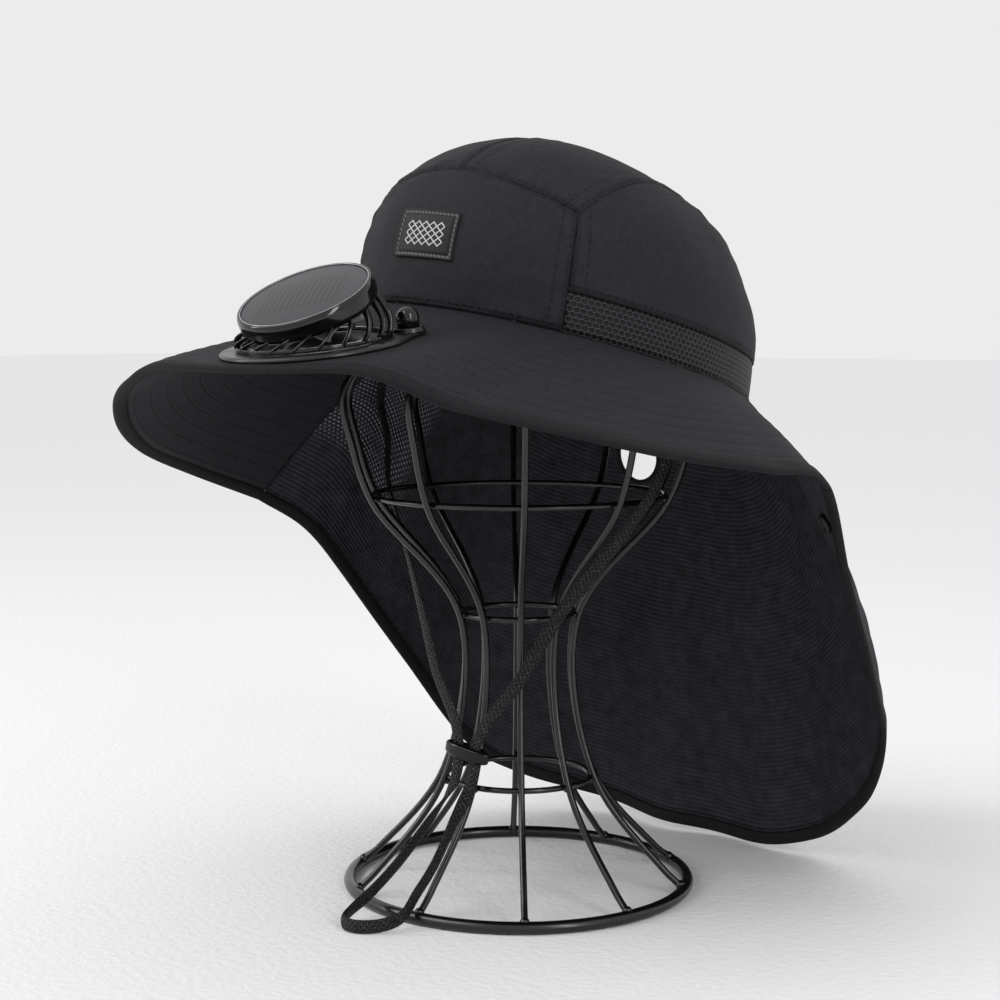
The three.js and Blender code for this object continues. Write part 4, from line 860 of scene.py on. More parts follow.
class ClothSettings(bpy.types.PropertyGroup):
    crown_colour: FloatVectorProperty(
        name="Crown cloth", description="Colour of the crown and brim cloth", subtype="COLOR", size=4,
        min=0, max=1, default=colour("#212125"),
    )
    flap_colour: FloatVectorProperty(
        name="Flap cloth", description="Colour of the neck flap's cloth", subtype="COLOR", size=4,
        min=0, max=1, default=colour("#29282d"),
    )
    thread_gap: FloatProperty(
        name="Stitch row spacing", description="Distance between the brim's rows of stitching", default=0.008,
        min=0.003, max=0.02, unit="LENGTH",
    )
    fold_depth: FloatProperty(
        name="Flap fold depth", description="How far the neck flap's soft folds reach", default=0.0022,
        min=0, max=0.006, unit="LENGTH",
    )


class HardSettings(bpy.types.PropertyGroup):
    gloss_colour: FloatVectorProperty(
        name="Fan plastic", description="Colour of the fan's glossy plastic", subtype="COLOR", size=4,
        min=0, max=1, default=colour("#060607"),
    )
    steel_colour: FloatVectorProperty(
        name="Stand paint", description="Colour of the stand's painted wire", subtype="COLOR", size=4,
        min=0, max=1, default=colour("#08080a"),
    )
    vane_count: IntProperty(
        name="Fan vanes", description="Number of curved vanes round the rotor", default=20, min=8, max=40)
    blade_count: IntProperty(
        name="Rotor blades", description="Number of blades on the rotor", default=7, min=3, max=11)


class StageSettings(bpy.types.PropertyGroup):
    lens: FloatProperty(
        name="Lens", description="The camera's focal length in millimetres", default=68.3, min=20, max=200)
    floor_colour: FloatVectorProperty(
        name="Backdrop", description="Colour of the floor and backdrop", subtype="COLOR", size=4,
        min=0, max=1, default=colour("#e6e6e7"),
    )


# Pieces of the hat


class HAT_OT_crown(bpy.types.Operator):
    """Makes the crown's sewn panels and its mesh band"""

    bl_idname = "hat.crown"
    bl_label = "Crown"

    def execute(self, context):
        cloth = cloth_material(
            "taslan_cloth_crown", context.scene.hat_cloth.crown_colour[:], 0.6,
            [(SIDE, 1.6, 5.2, 2), (END, 1.6, 5.2, 1)])
        shares = [0, 0.012, 0.03, 0.06, 0.1, *spread(0.15, 0.85, 20), 0.9, 0.94, 0.97, 0.988, 1]
        seam_foot, rear_foot = (mix(FRONT_SEAM_FOOT, 41, 0.4), BAND_TOP), (SIDE_SEAM_FOOT, BAND_TOP)

        def level(start, end, height, steps):
            return resample([chart_point(at, height) for at in spread(start, end, steps)], shares)

        def seam(places, steps):
            return resample(seam_points(places, steps), shares)

        def straight(first, last):
            return [chart_point(*first).lerp(chart_point(*last), share) for share in shares]

        half_arch = seam_points(FRONT_ARCH, 60)
        whole_arch = resample(mirrored(half_arch)[::-1] + half_arch[1:], shares)
        front_side = seam([(FRONT_SEAM_FOOT, 0), seam_foot, FRONT_ARCH[-1]], 80)
        outer = seam_points(SIDE_SEAM, 120) + seam_points([SIDE_SEAM[-1], rear_foot], 20)[1:]
        base = level(-FRONT_SEAM_FOOT, FRONT_SEAM_FOOT, 0, 60)
        top = (
            seam(FRONT_ARCH, 120), level(SIDE_SEAM_FOOT, 180, BAND_TOP, 40)[::-1],
            straight(FRONT_ARCH[0], (180, BAND_TOP)), resample(outer, shares),
        )
        flank = (
            level(seam_foot[0], SIDE_SEAM_FOOT, BAND_TOP, 60), seam(SIDE_SEAM, 120),
            seam([seam_foot, FRONT_ARCH[-1]], 60), straight(rear_foot, SIDE_SEAM[-1]),
        )
        self.panel("crown_front", (base, whole_arch, mirrored(front_side), front_side), shares, cloth,
                   "crown_front_panel", 1.6)
        for side in ("left", "right"):
            for kind, borders, pucker in (("top", top, 1.4), ("side", flank, 1.3)):
                if side == "right":
                    borders = tuple(mirrored(border) for border in borders)
                self.panel(f"crown_{kind}_{side}", borders, shares, cloth, f"crown_{kind}_panel_{side}", pucker)
        self.band(seam_foot[0])
        return {"FINISHED"}

    def panel(self, name, borders, shares, material, node, pucker):
        """One panel between four border curves, its edges turned in at the seams."""
        count = len(shares) - 1
        grid = [
            [crown_point(patch_point(borders, i, j, shares[i], shares[j])) for j in range(count + 1)]
            for i in range(count + 1)
        ]
        along = [runs([grid[i][j] for i in range(count + 1)]) for j in range(count + 1)]
        up = [runs(line) for line in grid]

        def place(i, j):
            point = grid[i][j].copy()
            side = min(along[j][i], along[j][-1] - along[j][i])
            end = min(up[i][j], up[i][-1] - up[i][j])
            edge = min(side, end)
            welt = WELT_DEPTH * smooth(edge / 1.4) - WELT_DEPTH
            welt += WELT_RISE * smooth((edge - 0.4) / 1.5) * smooth((8 - edge) / 2)
            sag = noise.noise(point * 0.028) * PANEL_SAG * smooth(edge / 12)
            near = math.exp(-edge / 7) * smooth(edge / 2)
            ripple = noise.noise(point * 0.16) * pucker * near
            point += crown_normal(point) * (welt + sag + ripple)
            return CROWN_FRAME @ point, (along[j][i] * MM, up[i][j] * MM), (side * MM, end * MM)

        bm = bmesh.new()
        grid_surface(bm, count, count, place)
        face_out(bm, crown_outward)
        thicken(finish_piece(bm, name, material, [node]), CROWN_WALL)

    def band(self, start):
        """The mesh band from one front seam round the back to the other, with piping on its top."""
        columns, rows = 240, 8
        heights = spread(0, BAND_TOP, rows)
        grid = [
            [crown_point(chart_point(at, height)) for height in heights]
            for at in spread(start, 360 - start, columns)
        ]
        run = runs([line[0] for line in grid])

        def place(i, j):
            point = grid[i][j].copy()
            end = min(j, rows - j) * BAND_HEIGHT / rows
            point += crown_normal(point) * (-0.35 + 0.25 * smooth(end / 3))
            return CROWN_FRAME @ point, (run[i] * MM, j * BAND_HEIGHT / rows * MM), (end * MM, end * MM)

        bm = bmesh.new()
        grid_surface(bm, columns, rows, place)
        face_out(bm, crown_outward)
        # the near-black second colour is painted shade inside the mesh's holes
        mesh_cloth = air_mesh_material("air_mesh_band", colour("#36363b"), colour("#020203"))
        thicken(finish_piece(bm, "crown_air_mesh", mesh_cloth, ["crown_mesh_band"]), MESH_WALL)
        path = [CROWN_FRAME @ crown_point(chart_point(at, BAND_TOP)) for at in spread(start, 360 - start, 180)]
        tape("crown_band_piping", path, oval(PIPING, PIPING, 8))


class HAT_OT_brim(bpy.types.Operator):
    """Makes the stitched brim and its bound edge"""

    bl_idname = "hat.brim"
    bl_label = "Brim"

    def execute(self, context):
        settings = context.scene.hat_cloth
        gap = settings.thread_gap / MM
        cloth = cloth_material(
            "taslan_cloth_brim", settings.crown_colour[:], 0.22, [(END, FIRST_STITCH, gap, STITCH_ROWS)])
        columns, rows = 200, 44
        grid = cloth_grid(-END_SEAM, END_SEAM, columns, rows)
        run = runs([line[-1] for line in grid])

        def place(i, j):
            point = grid[i][j]
            outward = length_from(grid[i], j)
            fan = math.hypot(point.x - FAN_PLACE.x, point.y - FAN_PLACE.y)
            wave = noise.noise(point * 0.02) * BRIM_WAVE * smooth((fan - 50) / 30) * smooth(j / rows * 4)
            row = 0.5 + 0.5 * math.cos(2 * math.pi * (outward - FIRST_STITCH) / gap)
            ridge = -QUILT_DEPTH * row * smooth((fan - 40) / 8)
            seam = outward * MM
            return point + Vector((0, 0, wave + ridge)), (run[i] * MM, seam), (seam, seam)

        bm = bmesh.new()
        grid_surface(bm, columns, rows, place)
        face_out(bm, lambda point: Vector((0, 0, 1)))
        brim = finish_piece(bm, "brim_cloth", cloth, ["brim"])
        thicken(brim, BRIM_THICKNESS, 0)
        bake_modifiers(brim)
        cut_round(brim, BRIM_HOLE_RADIUS, 24, 72, FAN_FRAME)
        edge_binding("brim_edge_tape", -END_SEAM, END_SEAM, ["brim_binding"])
        return {"FINISHED"}


def cloth_grid(start, end, columns, rows, bend=None):
    """Lines of points down the cloth to its edge tape, moved by a bend where there is one.

    A bend is a function of the azimuth, the share of the cloth's run, and the shares of the way round and down.
    """
    grid = []
    for i, at in enumerate(spread(start, end, columns)):
        ends, top = (root_point(at), edge_point(at)), share_before_edge(at, BINDING_WIDTH)
        line = []
        for j in range(rows + 1):
            share = mix(CLOTH_START, top, j / rows)
            point = cloth_point(at, share, ends)
            line.append(point + bend(at, share, i / columns, j / rows) if bend else point)
        grid.append(line)
    return grid


def edge_binding(name, start, end, nodes):
    """Folded tape over the cloth's free edge."""
    path, frames = [], []
    for at in spread(start, end, 200):
        inner = cloth_point(at, share_before_edge(at, BINDING_WIDTH))
        edge = cloth_point(at, 1)
        along = (cloth_point(at + 0.5, 1) - cloth_point(at - 0.5, 1)).normalized()
        across = edge - inner
        across = (across - along * across.dot(along)).normalized()
        path.append(edge - across * BINDING_WIDTH / 2)
        frames.append((across, along.cross(across)))
    section = [
        (-3.0, 1.15), (-2.9, 1.4), (0, 1.42), (2.2, 1.3), (2.8, 0.75), (3.0, 0), (2.8, -0.75), (2.2, -1.3),
        (0, -1.42), (-2.9, -1.4), (-3.0, -1.15), (-3.02, 0),
    ]
    return tape(name, path, section, nodes, frames)


class HAT_OT_flap(bpy.types.Operator):
    """Makes the hanging neck flap, its bound edge and the ponytail opening"""

    bl_idname = "hat.flap"
    bl_label = "Neck flap"

    def execute(self, context):
        settings = context.scene.hat_cloth
        cloth = cloth_material(
            "ribbed_cloth_flap", settings.flap_colour[:], 0.9, [(END, 1.5, 4, 1)], rib=1.0, ribbed=True,
            holes=(62, 40))
        columns, rows = 260, 90
        depth = settings.fold_depth / MM

        def folds(at, share, around, down):
            free = smooth(down * 3) * smooth(around * 12) * smooth((1 - around) * 12)
            free *= smooth((1 - down) * 8)
            drape = noise.noise(Vector((at * 0.09, share * 1.6, 3.1))) + 0.5 * noise.noise(
                Vector((at * 0.2, share * 3.2, 7.7)))
            slant = noise.noise(Vector((at * 0.05 + share * 3, share * 5 - at * 0.04, 1.3)))
            return heading(at) * free * depth * (drape * 1.6 + slant)

        grid = cloth_grid(END_SEAM + 0.1, 360 - END_SEAM - 0.1, columns, rows, folds)
        run = runs([line[rows // 2] for line in grid])

        def place(i, j):
            outward = length_from(grid[i], j)
            return grid[i][j], (run[i] * MM, outward * MM), ((run[-1] - run[i]) * MM, outward * MM)

        bm = bmesh.new()
        grid_surface(bm, columns, rows, place)
        area = sum(face.calc_area() for face in bm.faces) * MM * MM
        tree = BVHTree.FromBMesh(bm)
        panels = ["neck_flap_left", "neck_flap_back_left", "neck_flap_back_right", "neck_flap_right"]
        flap = finish_piece(bm, "neck_flap_cloth", cloth, panels)
        thicken(flap, FLAP_WALL, 0)
        bake_modifiers(flap)
        centre = root_point(OPENING_AZIMUTH) - Vector((0, 0, OPENING_FALL))
        turn = Matrix.Translation(centre) @ Matrix.Rotation(math.radians(OPENING_AZIMUTH - 180), 4, "Z")
        stretch = Matrix.Diagonal((1, 1, OPENING_HEIGHT / OPENING_WIDTH, 1))
        cut_round(flap, OPENING_WIDTH / 2, 60, 48, turn @ stretch @ Matrix.Rotation(math.pi / 2, 4, "X"))
        self.hem(tree, turn)
        binding = edge_binding("flap_edge_tape", END_SEAM + 0.25, 360 - END_SEAM - 0.25, ["flap_binding"])
        self.seam_tape()
        self.snap()
        return {"FINISHED"}

    def seam_tape(self):
        """The folded tape that closes the seam between the crown's band and the flap."""
        lift = CROWN_FRAME.to_3x3() @ Vector((0, 0, 0.5))
        path = [root_point(at) + lift for at in spread(END_SEAM - 1, 361 - END_SEAM, 160)]
        tape("flap_seam_tape", path, oval(SEAM_TAPE, SEAM_TAPE, 12))

    def hem(self, tree, turn):
        """A narrow rolled hem round the opening."""
        path = []
        for x, z in oval(OPENING_WIDTH + 1, OPENING_HEIGHT + 1, 48):
            hit = tree.ray_cast(turn @ Vector((x, -40, z)), turn.to_3x3() @ Vector((0, 1, 0)))[0]
            if hit is None:
                raise RuntimeError("the opening's hem missed the flap")
            path.append(hit)
        tape("opening_hem", path, oval(*HEM, 8), closed=True)

    def snap(self):
        """The snap's stud on the flap's inner side, square to the cloth."""
        low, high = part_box("flap_snap")
        centre = (Vector(low) + Vector(high)) / 2 / MM - SHIFT
        at, share = SNAP_PLACE
        along = cloth_point(at + 1, share) - cloth_point(at - 1, share)
        across = cloth_point(at, share + 0.02) - cloth_point(at, share - 0.02)
        inner = along.cross(across).normalized()
        if inner.dot(heading(at)) > 0:
            inner.negate()
        seat = Matrix.Translation(centre) @ Vector((0, 0, 1)).rotation_difference(inner).to_matrix().to_4x4()
        profile = [
            (0, -1), (4.5, -1), (4.5, 0.2), (3.6, 0.9), (2.6, 0.9), (2.2, 0.3), (1.6, 0.3), (1.2, 1), (0, 1),
        ]
        gloss = plain_material("moulded_acetal_snap", colour("#0e0e10"), 0.35)
        turned_piece("flap_snap_stud", rounded(profile, 0.3), 40, gloss, ["flap_snap"], seat)


class HAT_OT_patch(bpy.types.Operator):
    """Makes the moulded patch on the front panel"""

    bl_idname = "hat.patch"
    bl_label = "Patch"

    def execute(self, context):
        rubber = patch_material("moulded_rubber_patch", colour("#141416"), colour("#b9b9bc"))
        half_width, half_height = PATCH_WIDTH / 2, PATCH_HEIGHT / 2
        middle = crown_point(chart_point(-2, PATCH_LEVEL / CROWN_HEIGHT))
        columns, rows = 64, 42

        def place(i, j):
            x, rise = mix(-half_width, half_width, i / columns), mix(-half_height, half_height, j / rows)
            over_x, over_rise = max(abs(x) - half_width + 2, 0), max(abs(rise) - half_height + 2, 0)
            pull = min(2 / max(math.hypot(over_x, over_rise), 1e-6), 1)
            x = math.copysign(min(abs(x), half_width - 2) + over_x * pull, x)
            rise = math.copysign(min(abs(rise), half_height - 2) + over_rise * pull, rise)
            azimuth = math.degrees(math.asin((middle.x + x) / CROWN_HALF_WIDTH))
            point = crown_point(chart_point(azimuth, (PATCH_LEVEL + rise) / CROWN_HEIGHT))
            side, end = half_width - abs(x), half_height - abs(rise)
            edge = min(side, end)
            lift = 0.55 + 1.15 * smooth(edge / 0.5) - 0.55 * smooth((edge - 1) / 0.35)
            lift += 0.4 * smooth((edge - 2.4) / 0.5)
            raised_point = CROWN_FRAME @ (point + crown_normal(point) * lift)
            return raised_point, (x * MM, rise * MM), (side * MM, end * MM)

        bm = bmesh.new()
        grid_surface(bm, columns, rows, place)
        face_out(bm, lambda point: Vector((0, -1, 0)))
        thicken(finish_piece(bm, "front_patch", rubber, ["patch"]), THIN_WALL)
        return {"FINISHED"}


class HAT_OT_fan(bpy.types.Operator):
    """Makes the solar fan unit on the brim"""

    bl_idname = "hat.fan"
    bl_label = "Solar fan"

    def execute(self, context):
        settings = context.scene.hat_hard
        gloss = plain_material("moulded_abs_gloss", settings.gloss_colour[:], 0.12, specular=0.5)
        satin = plain_material("moulded_abs_satin", colour("#101012"), 0.32, depth=0.05, specular=0.5)
        smoke = plain_material("moulded_polycarbonate_rotor", colour("#6c6d71"), 0.3)
        self.flange(satin)
        self.grille(satin)
        self.housing(gloss)
        self.glass()
        self.cage(gloss, settings.vane_count)
        self.rotor(smoke, settings.blade_count)
        self.button(gloss)
        return {"FINISHED"}

    def flange(self, material):
        """The base plate round the brim's hole, its lobe for the button and the button's collar."""
        section = [(0, 0.3), (0, 1.9), (0.2, 2.1), (0.86, 2.1), (0.95, 1.85), (0.99, 1.3), (1, 0.3)]
        columns = 128

        def place(i, j):
            azimuth = i / columns * 360
            away = abs(azimuth - LOBE_AZIMUTH) / LOBE_WIDTH
            reach = FLANGE_RADIUS + FLANGE_LOBE * math.exp(-away * away)
            share, height = section[j % len(section)]
            return heading(azimuth) * mix(BRIM_HOLE_RADIUS, reach, share) + Vector((0, 0, height)), (0, 0)

        bm = bmesh.new()
        grid_surface(bm, columns, len(section), place)
        join_seam(bm)
        bmesh.ops.recalc_face_normals(bm, faces=bm.faces)
        piece = finish_piece(bm, "fan_flange_plate", material, ["fan_base_flange"], FAN_FRAME)
        soften(piece, 0.4)
        collar = rounded([(4.9, 2.0), (4.9, 3.7), (6.1, 3.7), (6.6, 2.0)], 0.4)
        turned_piece("button_collar", collar, 48, material, matrix=BUTTON_FRAME)

    def grille(self, material):
        """The sleeve through the brim and the guard across its lower end."""
        floor = GRILLE_FLOOR
        sleeve = [
            (25.9, 1.8), (27.1, 1.8), (27.1, -2.3), (31, -2.3), (31, -3.8), (27.1, -3.8), (27.1, floor),
            (25.9, floor), (25.9, 1.8),
        ]
        turned_piece(
            "grille_sleeve", rounded(sleeve, 0.35), 96, material, ["fan_lower_grille"],
            FAN_FRAME)
        bm = bmesh.new()
        lathe(bm, rounded([(0, -4), (6, -4), (6, floor), (0, floor)], 0.4), 40)
        for ring in GUARD_RINGS:
            tube(bm, ring_path(ring, GUARD_HEIGHT, 72), oval(1.5, 1.5, 10), closed=True)
        for spoke in range(GUARD_SPOKES):
            turn = Matrix.Rotation(math.radians(360 / GUARD_SPOKES * spoke), 4, "Z")
            tube(bm, [turn @ Vector((x, 0, GUARD_HEIGHT)) for x in spread(5.5, 26.2, 6)], oval(1.5, 1.3, 8))
        finish_piece(bm, "grille_guard", material, matrix=FAN_FRAME)

    def housing(self, material):
        """The round case that carries the solar cell, with the motor below and a painted highlight bead on its
        rim.
        """
        r, d = HOUSING_RADIUS, HOUSING_DEPTH
        shell = rounded([
            (0, -1.8), (26.2, -1.8), (26.2, -0.6), (26.6, -0.1), (27.3, -0.3), (r, -1.8), (r, -d - 0.2),
            (r - 0.8, -d - 1.8), (r - 2, -d - 1.8), (r - 2.3, -d), (7, -d), (7, -d - MOTOR_DEPTH),
            (0, -d - MOTOR_DEPTH),
        ], 0.8, 6)
        turned_piece(
            "solar_housing_shell", shell, 96, material, ["solar_housing"], HOUSING_FRAME)
        bm = bmesh.new()
        tube(bm, ring_path(RIM_RADIUS, RIM_HEIGHT, 96), oval(RIM_WIRE, RIM_WIRE, 10), closed=True)
        # a light grey bead as a painted highlight ring round the cover's rim
        painted_highlight = plain_material("painted_highlight_rim", colour("#85868a"), 0.15, specular=1)
        finish_piece(bm, "solar_rim_painted_highlight", painted_highlight, matrix=HOUSING_FRAME)

    def glass(self):
        """The slightly domed cover with the cell's lines turned a little on it."""
        columns, rows = 96, 24
        turn = Matrix.Rotation(math.radians(CELL_TURN), 2)

        def place(i, j):
            radius = COVER_RADIUS * j / rows
            height = COVER_EDGE + COVER_DOME * (1 - (radius / COVER_RADIUS) ** 2)
            point = heading(i / columns * 360) * radius
            turned = turn @ point.to_2d()
            return point + Vector((0, 0, height)), (turned.x * MM, turned.y * MM)

        bm = bmesh.new()
        grid_surface(bm, columns, rows, place)
        join_seam(bm)
        face_out(bm, lambda point: Vector((0, 0, 1)))
        cell = solar_material("laminated_solar_cell", colour("#26272a"), colour("#030303"))
        cover = finish_piece(bm, "solar_cell_cover", cell, ["solar_glass"], HOUSING_FRAME)
        thicken(cover, THIN_WALL)

    def cage(self, material, count):
        """Curved vanes from a ring on the flange up to the housing."""
        bm = bmesh.new()
        lathe(bm, rounded([(28.4, 2.4), (30.8, 2.4), (30.8, 4), (28.4, 4), (28.4, 2.4)], 0.35), 96)
        down = FAN_FRAME.inverted() @ HOUSING_FRAME
        for index in range(count):
            azimuth = (index + 0.5) / count * 360
            foot = heading(azimuth) * CAGE_RING_RADIUS + Vector((0, 0, VANE_FOOT))
            head = down @ (heading(azimuth + VANE_TWIST) * VANE_HEAD + Vector((0, 0, -HOUSING_DEPTH - 0.6)))
            radial = heading(azimuth + VANE_TWIST / 2)
            path = []
            for share in spread(0, 1, 12):
                bulge = VANE_BULGE * math.sin(math.pi * share**0.8) * smooth((head.z - foot.z) / 8)
                point = foot.lerp(head, share)
                point.z = mix(foot.z, head.z, share**0.85)
                path.append(point + radial * bulge)
            frames = []
            for before, after in zip(path[:1] + path[:-1], path[1:] + path[-1:]):
                tangent = (after - before).normalized()
                side = radial.cross(tangent).normalized()
                frames.append((side.cross(tangent).normalized(), side))
            tube(bm, path, oval(2.5, 1.15, 10), frames)
        finish_piece(bm, "fan_vanes", material, ["fan_vane_cage"], FAN_FRAME)

    def rotor(self, material, count):
        """Twisted, swept blades and their hub, below the motor."""
        seat = HOUSING_FRAME @ Matrix.Translation((0, 0, -HOUSING_DEPTH - MOTOR_DEPTH - GAP - HUB_HALF))
        columns, rows = 10, 12
        bm = bmesh.new()
        for index in range(count):
            turn = Matrix.Rotation(2 * math.pi * index / count, 4, "Z")

            def place(i, j, turn=turn):
                radius = mix(BLADE_ROOT, ROTOR_RADIUS, j / rows)
                across = mix(-1, 1, i / columns)
                twist = math.radians(BLADE_PITCH) * mix(1.25, 0.8, j / rows)
                rise = across * BLADE_HALF * mix(0.9, 1, smooth(j / rows))
                sweep = across * across * 0.12 + (radius - BLADE_ROOT) / ROTOR_RADIUS * 0.5
                angle = rise / math.tan(twist) / max(radius, HUB_RADIUS) + sweep
                return turn @ Vector((math.cos(angle) * radius, math.sin(angle) * radius, rise)), (0, 0)

            grid_surface(bm, columns, rows, place)
        blades = finish_piece(bm, "rotor_blades", material, ["fan_rotor"], seat, "rotor")
        thicken(blades, THIN_WALL, 0)
        hub = rounded([
            (0, HUB_HALF), (5.5, HUB_HALF), (HUB_RADIUS, 2), (HUB_RADIUS, -HUB_HALF), (0, -HUB_HALF),
        ], 0.8)
        turned_piece("rotor_hub", hub, 48, material, (), seat, "rotor")

    def button(self, material):
        """The domed cap of the power button."""
        foot, top, radius = 3.4, 11.9, 4.6
        dome = []
        for turn in spread(0, 86, 12):
            angle = math.radians(turn)
            dome.append((math.cos(angle) * radius, top - radius + math.sin(angle) * radius))
        profile = [(0, foot), (4.3, foot), (radius, foot + 0.3), *dome, (0, top)]
        turned_piece("power_button_cap", profile, 48, material, ["power_button"], BUTTON_FRAME)


def soften(piece, width):
    """Rounds a piece's sharp edges."""
    bevel = piece.modifiers.new("round", "BEVEL")
    bevel.width = width * MM
    bevel.segments = 3
    bevel.limit_method = "ANGLE"
    bevel.angle_limit = math.radians(40)


class HAT_OT_strap(bpy.types.Operator):
    """Makes the braided chin strap and its slider"""

    bl_idname = "hat.strap"
    bl_label = "Chin strap"

    def execute(self, context):
        # the second, lighter colour is the braid's painted highlight
        braid = braid_material("flat_polyester_braid", colour("#0a0a0b"), colour("#4c4c51"))

        def slot(side):
            place = SLIDER_PLACE + Vector((side * SLOT_SPACING / 2, 0, 0))
            return [place + Vector((0, 0, end * SLIDER_HEIGHT / 2)) for end in (side, -side)]

        path = catmull([*STRAP_LEFT, *slot(1), *STRAP_LOOP, *slot(-1), *STRAP_RIGHT], 10)
        frames = []
        for index, point in enumerate(path):
            tangent = (path[min(index + 1, len(path) - 1)] - path[max(index - 1, 0)]).normalized()
            across = strap_face(point).cross(tangent).normalized()
            frames.append((across, tangent.cross(across)))
        section = oval(STRAP_WIDTH, STRAP_THICKNESS, 20)
        strap = tube_piece("chin_strap_braid", path, section, braid, ["chin_strap"], frames)
        slider = self.slider()
        return {"FINISHED"}

    def slider(self):
        """The oval slider: a turned body drawn out sideways, with a slot for each run of the strap."""
        gloss = plain_material("moulded_abs_slider", colour("#08080a"), 0.2)
        half, depth = SLIDER_HEIGHT / 2, SLIDER_HALF_DEPTH
        bm = bmesh.new()
        lathe(bm, rounded([(0, half), (depth, half), (depth, -half), (0, -half)], 2.2, 8), 96)
        bmesh.ops.scale(bm, vec=(SLIDER_STRETCH, 1, 1), verts=bm.verts)
        seat = Matrix.Translation(SLIDER_PLACE) @ Matrix.Rotation(math.radians(SLIDER_TILT), 4, "Y")
        piece = finish_piece(bm, "strap_slider_body", gloss, ["strap_slider"], seat)
        for side in (-1, 1):
            cutter = bmesh.new()
            bmesh.ops.create_cube(cutter, size=1, matrix=Matrix.Diagonal((*SLOT_SIZE, 1)))
            cut_with(piece, cutter, seat @ Matrix.Translation((side * SLOT_SPACING / 2, 0, 0)))
        return piece


class HAT_OT_stand(bpy.types.Operator):
    """Makes the wire hat stand"""

    bl_idname = "hat.stand"
    bl_label = "Hat stand"

    def execute(self, context):
        settings = context.scene.hat_hard
        paint = plain_material(
            "powder_coated_steel", settings.steel_colour[:], 0.24, grain=1400, depth=0.04, specular=0.55,
            smudge=0.05)
        for name, (radius, height, half) in RINGS.items():
            tube_piece(
                f"{name}_ring_wire", ring_path(radius, height, 144), oval(2 * half, 2 * half, 16), paint,
                [f"stand_{name}_ring"], closed=True)
        profile, section = wire_path(), oval(2 * WIRE_RADIUS, 2 * WIRE_RADIUS, 12)
        for index in range(WIRE_COUNT):
            azimuth = WIRE_START + index * 360 / WIRE_COUNT
            turn = Matrix.Rotation(math.radians(azimuth - 90), 4, "Z")
            tube_piece(
                f"cage_wire_{index + 1}", [turn @ point for point in profile], section, paint,
                [f"stand_wire_{index + 1}"])
            self.welds(f"weld_beads_{index + 1}", paint, azimuth)
        return {"FINISHED"}

    def welds(self, name, paint, azimuth):
        """Small weld beads where a wire crosses the rings."""
        bm = bmesh.new()
        # radius on the stand, height and size of each bead
        for radius, height, size in ((77.6, 4.6, 2.6), (35.2, 50.9, 1.5), (27, 128, 1.5), (68.8, 182.6, 1.5)):
            spot = Matrix.Translation(heading(azimuth) * radius + Vector((0, 0, height)))
            bmesh.ops.create_icosphere(
                bm, subdivisions=2, radius=size * 0.9, matrix=spot @ Matrix.Diagonal((1, 1, 1.1, 1)))
        finish_piece(bm, name, paint)


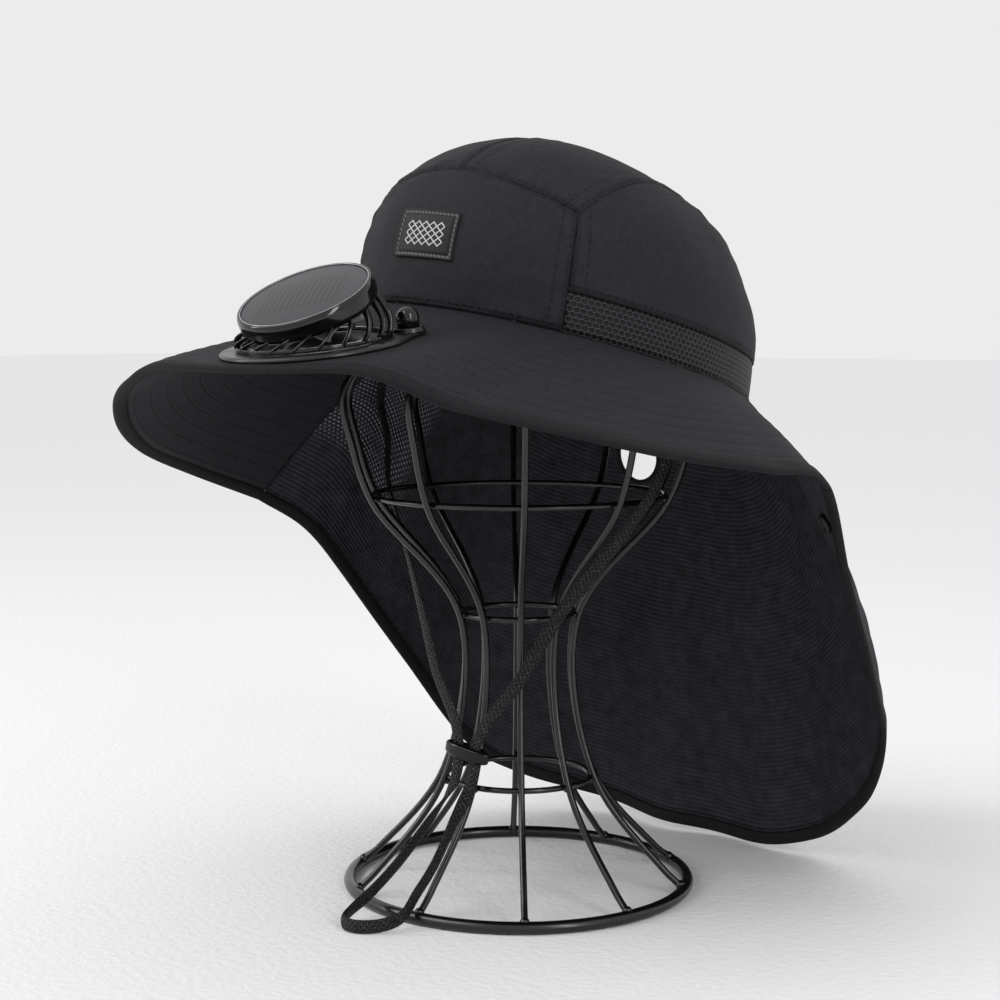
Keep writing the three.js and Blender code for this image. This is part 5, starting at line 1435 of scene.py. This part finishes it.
class HAT_OT_stage(bpy.types.Operator):
    """Makes the backdrop, the lights and the camera"""

    bl_idname = "hat.stage"
    bl_label = "Stage"

    def execute(self, context):
        scene, settings = context.scene, context.scene.hat_stage
        data = bpy.data.cameras.new("photo_camera")
        data.lens = settings.lens
        data.sensor_width = 36
        scene.camera = link("photo_camera", data)
        scene.camera.location = place_in_row(
            heading(CAMERA_AZIMUTH) * CAMERA_DISTANCE + Vector((0, 0, CAMERA_HEIGHT)))
        scene.camera.rotation_euler = (
            math.radians(90 - CAMERA_TILT), 0, math.radians(CAMERA_AZIMUTH + CAMERA_TURN))
        scene.view_settings.view_transform = "Standard"
        self.floor(settings)
        scene.world = bpy.data.worlds.new("studio_air")
        scene.world.use_nodes = True
        sky = scene.world.node_tree.nodes["Background"].inputs
        sky["Color"].default_value = colour("#ececed")
        sky["Strength"].default_value = 1
        sun = bpy.data.lights.new("soft_key", "SUN")
        sun.energy = 0.9
        sun.angle = math.radians(35)
        self.aim(link("soft_key", sun), (0.35, 0.75, -0.85))
        for name, place, size, power in (
            ("left_strip", (-1.3, -0.9, 0.9), (0.25, 1.4), 8),
            ("right_strip", (1.5, -0.6, 0.8), (0.3, 1.4), 9),
        ):
            light = bpy.data.lights.new(name, "AREA")
            light.shape = "RECTANGLE"
            light.size, light.size_y = size
            light.energy = power
            holder = link(name, light)
            holder.location = place
            self.aim(holder, Vector((0, 0, 0.2)) - Vector(place))
        return {"FINISHED"}

    def aim(self, light, direction):
        light.rotation_euler = Vector(direction).to_track_quat("-Z", "Y").to_euler()

    def floor(self, settings):
        """A pale level floor, far out on all sides; its size is in metres."""
        bm = bmesh.new()
        bmesh.ops.create_grid(bm, x_segments=1, y_segments=1, size=14)
        mesh = bpy.data.meshes.new("studio_floor")
        bm.to_mesh(mesh)
        bm.free()
        mesh.materials.append(floor_material("matte_fleece_floor", settings.floor_colour[:]))
        return link("studio_floor", mesh)


class HAT_PT_panel(bpy.types.Panel):
    """Lists the hat's settings and pieces"""

    bl_idname = "HAT_PT_panel"
    bl_label = "Sun Hat"
    bl_space_type = "VIEW_3D"
    bl_region_type = "UI"
    bl_category = "Sun Hat"

    def draw(self, context):
        for group in (context.scene.hat_cloth, context.scene.hat_hard, context.scene.hat_stage):
            column = self.layout.column()
            for name in group.__annotations__:
                column.prop(group, name)
        for operator in OPERATORS:
            self.layout.operator(operator.bl_idname)


OPERATORS = (
    HAT_OT_stage, HAT_OT_strap, HAT_OT_stand, HAT_OT_crown, HAT_OT_brim, HAT_OT_flap, HAT_OT_patch, HAT_OT_fan,
)
CLASSES = (ClothSettings, HardSettings, StageSettings, *OPERATORS, HAT_PT_panel)


def register():
    for cls in CLASSES:
        bpy.utils.register_class(cls)
    bpy.types.Scene.hat_cloth = PointerProperty(type=ClothSettings)
    bpy.types.Scene.hat_hard = PointerProperty(type=HardSettings)
    bpy.types.Scene.hat_stage = PointerProperty(type=StageSettings)


def unregister():
    del bpy.types.Scene.hat_stage
    del bpy.types.Scene.hat_hard
    del bpy.types.Scene.hat_cloth
    for cls in reversed(CLASSES):
        bpy.utils.unregister_class(cls)


def main():
    register()
    bpy.ops.hat.stage()
    bpy.ops.hat.strap()
    bpy.ops.hat.stand()
    bpy.ops.hat.crown()
    bpy.ops.hat.brim()
    bpy.ops.hat.flap()
    bpy.ops.hat.patch()
    bpy.ops.hat.fan()


if __name__ == "__main__":
    main()
